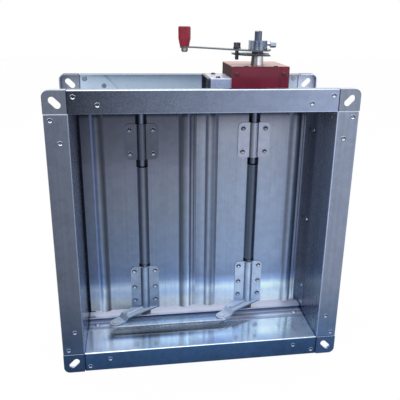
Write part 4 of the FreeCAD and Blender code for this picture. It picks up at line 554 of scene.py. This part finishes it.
# The drive blade's own painted reflection and shade by height, and a painted shade on the strip behind its shaft
driveChanges = {
    "rise": [(48, tint(222, 238, 255)), (62, tint(212, 232, 255)), (76, tint(198, 218, 248)),
             (87, tint(214, 236, 255)), (99, tint(144, 170, 216)), (112, tint(116, 137, 174)),
             (145, tint(125, 145, 178)), (260, tint(133, 148, 174)), (384, tint(138, 146, 165)),
             (398, tint(126, 132, 149)), (409, tint(104, 110, 126)), (414, tint(52, 57, 70))],
    "tilt": 0.34, "tiltFrom": 1.2,
    "dark": {"middle": driveX, "half": 0.010625, "core": 0.8, "depth": 0.56, "colour": tint(52, 72, 98),
             "share": 0.4}}
sheets = {
    # Side walls: painted darker towards the floor and paler to the right, with painted shade on the walls' insides
    # and in the floor joint and a painted highlight on the front fold
    "sideSheet": {
        "rise": [(0, tint(62, 84, 118)), (35, tint(72, 95, 132)), (60, tint(74, 92, 120)),
                 (150, tint(108, 118, 138)), (470, tint(124, 134, 154))],
        "outer": zinc, "tilt": 0.36, "walls": (1.42, 0.79), "matteAside": 0.15,
        "seams": [("z", 0.035, 0.0022)], "folds": [("x", 0.2006)]},
    # Front corners: painted darker towards the floor and paler to the right, with painted light and shade in the
    # joints beside the lugs
    "cornerSheet": {
        "rise": [(0, tint(46, 68, 104)), (34, tint(54, 77, 112)), (60, tint(70, 86, 112)),
                 (150, tint(105, 113, 130)), (470, tint(122, 130, 148))],
        "outer": zinc, "tilt": 0.25,
        "groove": {"depth": 0.1038, "edge": 0.2007, "upright": tint(34, 38, 50), "level": tint(206, 216, 232)}},
    # Back corners: a painted pale reflection on their front faces and arms, darker faces that look up, and painted
    # shade in the joint by the arms
    "backCornerSheet": {
        "rise": even(tint(196, 208, 236)), "up": tint(84, 90, 106), "outer": zinc, "arms": paleBackReflection,
        "tilt": 0.5, "matteBack": 1.0, "seams": [("x", 0.2007, 0.0008)]},
    # Roof: painted light on faces that look up, painted much paler to the right, a painted pale reflection on the
    # back flange and a painted highlight on the top fold
    "roofSheet": {
        "rise": even(tint(116, 127, 151)), "up": tint(222, 236, 255), "outer": zinc, "back": paleBackReflection,
        "tilt": 0.95, "rolled": (0.05, 1, 1), "streaks": 160, "streakDepth": 0.16, "mottle": 0.26,
        "bumps": 0.12, "matteBack": 1.0, "folds": [("z", 0.4356)]},
    # Floor: the front flange is painted dark as shade, faces that look up take a painted reflection of the blades
    # with painted light zones, and there are a painted shade line by the sill, painted shade at the wall joints, a
    # painted highlight on the fold and the link's painted reflection
    "floorSheet": {
        "rise": [(0, tint(42, 64, 98)), (35, tint(50, 78, 116))], "up": tint(204, 225, 255), "outer": zinc,
        "tilt": 0.0, "rolled": (1, 0.02, 1), "streaks": 110, "streakDepth": 0.60, "spangle": 60,
        "cloud": 0.0, "mottle": 0.0, "roughness": (0.10, 0.16), "matteUp": 0.25, "bumps": 0.15,
        "seams": [("x", 0.200, 0.0022)], "folds": [("z", 0.0354)], "stripes": [(-0.0335, 0.0040, 0.62)],
        "patches": [(-0.14, 0.14, 1.14)],
        "upPatches": [(-0.32, -0.09, 2.1), (-0.11, 0.015, 1.28), (0.05, 0.22, 1.45)],
        "band": {"front": (-0.078, -0.068), "back": (-0.048, -0.057), "start": (-0.174, -0.156),
                 "fade": (0.09, -0.06, 0.0, 0.80)}},
    # Sills: painted highlight lines and a painted shade line along the top, and painted shade in the joints
    "sillSheet": {
        "rise": [(35, tint(130, 146, 180)), (460, tint(110, 118, 136))], "up": tint(196, 205, 230),
        "tilt": 0.0, "rolled": across, "streaks": 110, "streakDepth": 0.6, "grit": 0.1, "mottle": 0.0,
        "roughness": (0.24, 0.27), "matteUp": 0.45, "bumps": 0.0,
        "seams": [("x", 0.200, 0.004), ("z", 0.0395, 0.0022)],
        "stripes": [(-0.0165, 0.0018, 1.7), (-0.0285, 0.0030, 1.6), (-0.0215, 0.0030, 0.8)]},
    "idleSheet": bladeLook,
    "driveSheet": {**bladeLook, **driveChanges},
    # Right seal: paler towards the floor, a painted reflection
    "sealSheet": {
        "rise": [(0, tint(148, 160, 186)), (120, tint(100, 108, 128)), (470, tint(80, 85, 100))],
        "up": tint(120, 130, 150)},
    # Left seal: painted almost black as shade
    "shadeSheet": {
        "rise": [(0, tint(34, 38, 50)), (470, tint(28, 30, 40))], "up": tint(30, 32, 42)},
    # Link bar: its front face is painted bright as a highlight, its top is painted darker to the rear, and its
    # lower front and underside are painted dark as shade
    "barSheet": {
        "rise": even(tint(242, 250, 255)), "up": tint(178, 212, 254), "tilt": 0.0, "rolled": across,
        "mottle": 0.0, "matte": 0.7, "grit": 0.3, "deepen": (-0.033, -0.041, 0.40, 1.0),
        "lip": (-0.0453, -0.0459),
        "below": {"edge": (0.0439, 0.0435), "rear": (-0.031, -0.034), "colour": tint(10, 16, 30)}},
    # Stand: painted shade on faces turned left and inside its open end
    "standSheet": {
        "rise": even(tint(176, 192, 228)), "up": tint(214, 216, 236), "tilt": 0.0, "rolled": across,
        "streakDepth": 0.10, "cloud": 0.02, "mottle": 0.0, "grit": 0.2, "bumps": 0.05, "matte": 0.85,
        "hollow": (0.0154, 0.0152), "flanks": [(-1, [(0.0, 0.08), (0.2, 0.12), (0.4, 1.0), (1.0, 1.0)])]}}
# Painted shade on the cranks' faces that look down
crankUnderShade = tint(66, 80, 108)
plates = {
    "zincPlate": {},
    # Clinch bowls and rivets: painted highlight on faces that look up, paler near the floor as a painted
    # reflection, and dark painted shade on faces that look down
    "bowlPlate": {
        "pale": tint(92, 100, 118), "deep": tint(66, 74, 92), "up": tint(240, 246, 255),
        "upLow": tint(168, 190, 222), "under": tint(20, 25, 40), "upFrom": (0.10, 0.38), "dirt": 0.0,
        "matteUp": 0.6},
    "idlePlate": {
        "pale": tint(89, 95, 112), "deep": tint(75, 81, 98), "up": tint(166, 174, 190), "dirt": 0.25,
        "matteAside": 0.6},
    "drivePlate": {
        "pale": tint(174, 182, 204), "deep": tint(147, 156, 181), "dirt": 0.35, "matteAside": 0.6,
        "flanks": [(0.0, 0.30), (0.20, 0.40), (0.35, 0.60), (0.44, 0.85), (0.49, 1.0), (0.58, 0.90),
                   (0.64, 1.0), (0.70, 1.8), (0.77, 0.95), (0.86, 0.50), (1.0, 0.30)]},
    "crankPlate": {
        "pale": tint(148, 170, 202), "deep": tint(112, 132, 162), "up": tint(208, 228, 252),
        "under": crankUnderShade, "matte": 0.45, "matteUp": 0.4, "dirt": 0.3},
    "driveCrank": {
        "pale": tint(190, 212, 242), "deep": tint(150, 174, 212), "up": tint(206, 224, 248),
        "under": crankUnderShade, "matte": 0.45, "matteUp": 0.4, "dirt": 0.3},
    "turnedSteel": {
        "pale": tint(182, 184, 194), "deep": tint(140, 143, 155), "up": tint(238, 244, 252),
        "roughness": (0.16, 0.28), "drawn": (1, 1, 6), "matteUp": 0.7},
    "neckSteel": {
        "pale": tint(244, 242, 250), "deep": tint(180, 178, 190), "up": tint(206, 214, 224),
        "roughness": (0.16, 0.26), "drawn": (1, 1, 0.4), "upFrom": (0.7, 0.95),
        "flanks": [(0.0, 0.06), (0.12, 0.10), (0.24, 0.35), (0.36, 0.30), (0.46, 1.25),
                   (0.56, 1.30), (0.66, 0.55), (0.80, 0.28), (0.92, 0.60), (1.0, 0.10)]},
    "handleSteel": {
        "pale": tint(116, 124, 131), "deep": tint(90, 98, 106), "up": tint(120, 134, 142),
        "under": tint(96, 110, 110), "roughness": (0.18, 0.30)},
    "hubSteel": {
        "pale": tint(196, 210, 234), "deep": tint(66, 74, 102), "up": tint(196, 212, 230),
        "roughness": (0.18, 0.30), "drawn": (2.6, 2.6, 0.25), "contrast": (0.42, 0.60), "dirt": 0.5},
    "screwSteel": {
        "pale": tint(190, 208, 232), "deep": tint(140, 158, 188), "up": tint(240, 246, 252),
        "under": tint(62, 62, 52), "roughness": (0.18, 0.30), "upFrom": (0.2, 0.6)},
    "knobSteel": {
        "pale": tint(190, 190, 192), "deep": tint(130, 130, 134), "upFrom": (0.5, 0.9),
        "flanks": [(0.0, 0.2), (0.25, 0.45), (0.45, 1.1), (0.6, 0.9), (0.8, 0.4), (1.0, 0.15)]},
    "darkSteel": {"pale": tint(86, 92, 98), "deep": tint(50, 56, 62), "up": tint(132, 140, 146)},
    "drawnBar": {
        "pale": tint(108, 118, 142), "deep": tint(70, 79, 100), "up": tint(150, 156, 170),
        "roughness": (0.26, 0.38), "drawn": (1, 1, 0.03), "matteAside": 0.4,
        "flanks": [(0.0, 0.30), (0.22, 0.45), (0.38, 0.85), (0.48, 1.10), (0.58, 1.55),
                   (0.68, 1.05), (0.80, 0.50), (1.0, 0.28)]}}
paints = {
    "crimsonPaint": {},
    "crimsonFront": {"lines": [0.1273], "tabs": (0.4946, 0.4952)},
    "crimsonScrew": {"fresh": tint(106, 32, 50), "dull": tint(92, 28, 44), "top": None, "coat": 0.2},
    "crimsonGrip": {"fresh": tint(146, 26, 50), "dull": tint(124, 24, 44), "top": None, "left": None}}
coats = {name: make(name, look) for make, looks in ((galvanised, sheets), (plated, plates), (painted, paints))
         for name, look in looks.items()}
coats["blackScrew"] = blackened("blackScrew", blackLook)
coats["darkPlastic"] = plastic("darkPlastic", plasticLook)
print("finishes made:", len(bpy.data.materials))

# The starts of the names of the nodes that take each finish
coatedNodes = {
    "sideSheet": ("casing_left", "casing_right"), "floorSheet": ("casing_bottom",), "roofSheet": ("casing_top",),
    "cornerSheet": ("corner_front",), "backCornerSheet": ("corner_back",),
    "sillSheet": ("floor_sill", "ceiling_sill"),
    "shadeSheet": ("side_seal_left",), "sealSheet": ("side_seal_right",),
    "idleSheet": ("blade_idle",), "driveSheet": ("blade_drive",), "barSheet": ("link_bar",),
    "standSheet": ("actuator_stand", "stand_brace"),
    "zincPlate": ("front_flange", "back_flange", "sill_screws"),
    "bowlPlate": ("seal_rivets", "saddle_rivets", "crank_rivets"),
    "idlePlate": ("saddle_idle",), "drivePlate": ("saddle_drive",),
    "crankPlate": ("crank_idle",), "driveCrank": ("crank_drive",),
    "turnedSteel": ("link_pin", "shaft_collar", "shaft_cap"), "drawnBar": ("lower_shaft", "upper_shaft"),
    "neckSteel": ("neck_bush",), "handleSteel": ("lever",), "hubSteel": ("handle_hub",),
    "screwSteel": ("set_screw",), "knobSteel": ("knob_rivet",), "darkSteel": ("quadrant_plate", "lock_washer"),
    "crimsonPaint": ("cover_shell",), "crimsonFront": ("cover_front",), "crimsonScrew": ("cover_screws",),
    "crimsonGrip": ("knob_grip",),
    "blackScrew": ("stand_screws", "friction_washer", "lock_bolt", "collar_screw"),
    "darkPlastic": ("bottom_bush", "top_bush")}
for name, node in nodes.items():
    coat = next(coats[coat] for coat, starts in coatedNodes.items() if name.startswith(starts))
    node.data.materials.clear()
    node.data.materials.append(coat)


def piece(name, mesh, coat, body, smooth=True):
    # Turn a finished bmesh into a piece that rides on a body
    data = bpy.data.meshes.new(name)
    mesh.to_mesh(data)
    mesh.free()
    for face in data.polygons:
        face.use_smooth = smooth
    data.materials.append(coats[coat])
    made = bpy.data.objects.new(name, data)
    bpy.context.scene.collection.objects.link(made)
    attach(made, body)
    return made


def turned(mesh, profile, place, axis, steps=24):
    # Spin a profile of (radius, height) about an axis through a place
    toAxis = Vector((0, 0, 1)).rotation_difference(Vector(axis)).to_matrix().to_4x4()
    put = Matrix.Translation(place) @ toAxis
    points = [mesh.verts.new(put @ Vector((radius, 0, height))) for radius, height in profile]
    edges = [mesh.edges.new(pair) for pair in zip(points, points[1:])]
    bmesh.ops.spin(mesh, geom=points + edges, cent=place, axis=Vector(axis), angle=2 * pi,
                   steps=steps, use_merge=True)


def pressed(name, profile, spots, coat, body):
    # One piece of many small turned forms, each at (place, direction)
    mesh = bmesh.new()
    for place, outward in spots:
        turned(mesh, profile, place, outward)
    bmesh.ops.remove_doubles(mesh, verts=mesh.verts, dist=1e-6)
    bmesh.ops.recalc_face_normals(mesh, faces=mesh.faces)
    return piece(name, mesh, coat, body)


# Clinches: a bowl in each pocket of the flanges with the ring that the punch raises round it
clinch = {"form": [(0.0039, -0.0001), (0.00375, 0.00022), (0.0034, 0.00034), (0.0029, 0.00022), (0.0024, -0.00025),
                   (0.0018, -0.00072), (0.0012, -0.00090), (0.0006, -0.00092), (0.0, -0.00092)],
          "reach": 0.2, "near": 0.008, "nearEdge": 0.0097, "far": 0.0415, "farEdge": 0.0215}


def clinchRings(look):
    low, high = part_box("casing_bottom")
    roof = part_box("casing_top")[1].z
    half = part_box("casing_right")[1].x
    spots = []
    for side in (-1, 1):
        for inward, edge in ((look["near"], look["nearEdge"]), (look["far"], look["farEdge"])):
            reach = side * (look["reach"] - inward)
            spots += [(reach, edge), (reach, roof - edge), (edge - half, roof / 2 + reach),
                      (half - edge, roof / 2 + reach)]
    for label, y, outward in (("front", low.y, -1), ("back", high.y, 1)):
        pressed(f"{label}ClinchRings", look["form"], [((x, y, z), (0, outward, 0)) for x, z in spots],
                "bowlPlate", "casing")


clinchRings(clinch)

# Small clinches that hold the laps to the side walls, seen inside
lapClinch = {"form": [(0.0026, -0.0001), (0.0023, 0.00030), (0.0018, 0.00042), (0.0013, 0.00010),
                      (0.0007, -0.00020), (0.0, -0.00025)],
             "deep": 0.084, "rise": 0.0125}


def lapClinches(look):
    low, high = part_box("casing_right")
    spots = [((side * low.x, away * look["deep"], z), (-side, 0, 0))
             for side in (-1, 1) for away in (-1, 1) for z in (low.z + look["rise"], high.z - look["rise"])]
    pressed("lapClinches", look["form"], spots, "bowlPlate", "casing")


lapClinches(lapClinch)
print("clinches pressed")

# Hollow rivets of the saddles and cranks, with a dished head and a curled tail
rivet = {"form": [(0.0, -0.0014), (0.0011, -0.0013), (0.0017, -0.0010), (0.0024, -0.0002), (0.0030, 0.0006),
                  (0.0034, 0.0010), (0.0039, 0.0010), (0.0042, 0.0008), (0.0042, 0.0), (0.0024, -0.0002),
                  (0.0024, -0.0031), (0.0035, -0.0032), (0.0034, -0.0037), (0.0028, -0.0042), (0.0021, -0.0041),
                  (0.0017, -0.0033), (0.0009, -0.0022), (0.0, -0.0021)],
         "head": 0.0038, "rise": 0.0011, "rows": {"saddle": (0.0, 1.0), "crank": (0.0, 27 / 58.5, 1.0)}}


def dishedRivets(look):
    margin = Vector((look["head"], 0, look["head"]))
    for label in ("idle", "drive"):
        for plate, rows in look["rows"].items():
            node = f"{plate}_rivets_{label}"
            low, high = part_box(node)
            first, last = low + margin, high - margin
            spots = [((x, low.y + look["rise"], first.z + (last.z - first.z) * row), (0, -1, 0))
                     for x in (first.x, last.x) for row in rows]
            made = pressed(f"{plate}Rivets{label.capitalize()}", look["form"], spots, "bowlPlate",
                           f"{label}_blade")
            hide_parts(node)


dishedRivets(rivet)
print("rivets set")

# Thin discs that close the step where a blade's middle bead turns inside out into its cradle
web = {"radius": 0.0093, "deep": 0.0069, "thick": 0.0008, "reach": 0.094, "step": 15}


def beadWebs(look):
    for label in ("idle", "drive"):
        low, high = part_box(f"blade_{label}")
        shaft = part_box(f"lower_shaft_{label}")
        middle = (shaft[0].x + shaft[1].x) / 2
        turns = [radians(angle) for angle in range(0, 360, look["step"])]
        outline = [(middle + look["radius"] * cos(turn), look["deep"] * sin(turn)) for turn in turns]
        mesh = bmesh.new()
        for z in (low.z + look["reach"], high.z - look["reach"] - look["thick"]):
            base = mesh.faces.new([mesh.verts.new((x, y, z)) for x, y in outline])
            grown = bmesh.ops.extrude_face_region(mesh, geom=[base])["geom"]
            bmesh.ops.translate(mesh, vec=(0, 0, look["thick"]),
                                verts=[part for part in grown if isinstance(part, bmesh.types.BMVert)])
        bmesh.ops.recalc_face_normals(mesh, faces=mesh.faces)
        piece(f"beadWebs{label.capitalize()}", mesh, f"{label}Sheet", f"{label}_blade", smooth=False)


beadWebs(web)

# Rolled threads on the lock bolt and on the tails of the crank pins; "start" and "end" are above the tail's end
thread = {"pitch": 0.0010, "root": -0.0003, "crest": 0.00012, "core": -0.0006}
boltThread = {**thread, "radius": 0.003, "start": 0.001}
pinThread = {**thread, "radius": 0.0025, "start": 0.0003, "end": 0.0040}


def threaded(name, node, look, high, coat, body):
    nodeLow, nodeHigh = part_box(node)
    low, pitch = nodeLow.z + look["start"], look["pitch"]
    core, root, crest = (look["radius"] + look[part] for part in ("core", "root", "crest"))
    turns = int((high - low) / pitch)
    profile = [(core, low)]
    for turn in range(turns):
        profile += [(root, low + turn * pitch), (crest, low + turn * pitch + pitch / 2)]
    profile += [(root, low + turns * pitch), (core, low + turns * pitch)]
    middle = (nodeLow + nodeHigh) / 2
    pressed(name, profile, [((middle.x, middle.y, 0), (0, 0, 1))], coat, body)


threaded("lockThread", "lock_bolt", boltThread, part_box("quadrant_plate")[0].z, "blackScrew", "lock")
for label in ("idle", "drive"):
    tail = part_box(f"link_pin_{label}")[0].z
    threaded(f"pinThread{label.capitalize()}", f"link_pin_{label}", pinThread, tail + pinThread["end"],
             "turnedSteel", f"{label}_blade")
print("threads rolled")

# Room: white floor, soft lamps and a white surround that the metal reflects
room = {"floorSize": 12.0, "floorDrop": 0.0002, "floorColour": (0.95, 0.95, 0.95, 1.0), "floorRough": 0.9,
        "floorWhite": 0.97, "white": (1, 1, 1, 1), "ambient": 0.74, "aim": (0, 0, 0.25),
        "lamps": [("topLamp", (-0.2, -0.2, 2.2), 2.2, 20, (1.0, 0.99, 0.98)),
                  ("leftLamp", (-2.0, -1.3, 1.6), 1.6, 14, (0.97, 0.98, 1.0)),
                  ("rightLamp", (2.1, -1.0, 1.2), 1.4, 10, (1.0, 0.98, 0.96))]}


def buildRoom(look):
    bpy.ops.mesh.primitive_plane_add(size=look["floorSize"], location=(0, 0, -look["floorDrop"]))
    floor = bpy.context.object
    floor.name = "studioFloor"
    white = Finish("studioWhite", {"Roughness": look["floorRough"], "Base Color": look["floorColour"]})
    glow = white.node("ShaderNodeEmission", None, {"Color": look["white"], "Strength": 1.0})
    body = Value(white, white.shader.outputs[0])
    seen = white.node("ShaderNodeMixShader", None, {0: white.seenPlain() * look["floorWhite"], 1: body, 2: glow})
    white.feed(white.nodeTree.nodes["Material Output"].inputs["Surface"], seen)
    floor.data.materials.append(white.material)
    world = bpy.data.worlds.new("studioSurround")
    bpy.context.scene.world = world
    world.use_nodes = True
    surround = Tree(world.node_tree)
    sky = world.node_tree.nodes["Background"]
    surround.feed(sky.inputs["Color"], look["white"])
    surround.feed(sky.inputs["Strength"], surround.grade(surround.seenPlain(), 0, 1, look["ambient"], 1.0))
    for name, place, size, power, colour in look["lamps"]:
        lamp = bpy.data.lights.new(name, "AREA")
        lamp.shape = "DISK"
        lamp.size = size
        lamp.energy = power
        lamp.color = colour
        holder = bpy.data.objects.new(name, lamp)
        holder.location = place
        holder.rotation_euler = (Vector(look["aim"]) - Vector(place)).to_track_quat("-Z", "Y").to_euler()
        bpy.context.scene.collection.objects.link(holder)


buildRoom(room)

# Camera at the photograph's angle
view = {"place": (-0.109, -0.851, 0.577), "turn": -8.48, "tilt": 18.53, "roll": 0.96, "lens": 46.57,
        "sensor": 36, "shift": (-0.02025, -0.03725)}


def aimCamera(look):
    lens = bpy.data.cameras.new("photoCamera")
    lens.lens = look["lens"]
    lens.sensor_width = look["sensor"]
    lens.shift_x, lens.shift_y = look["shift"]
    holder = bpy.data.objects.new("photoCamera", lens)
    turn = Matrix.Rotation(radians(look["turn"]), 3, "Z") @ Matrix.Rotation(radians(90 - look["tilt"]), 3, "X")
    holder.rotation_euler = (turn @ Matrix.Rotation(radians(look["roll"]), 3, "Z")).to_euler()
    holder.location = look["place"]
    bpy.context.scene.collection.objects.link(holder)
    bpy.context.scene.camera = holder


aimCamera(view)
bpy.context.scene.view_settings.view_transform = "Standard"
print("room and camera ready")
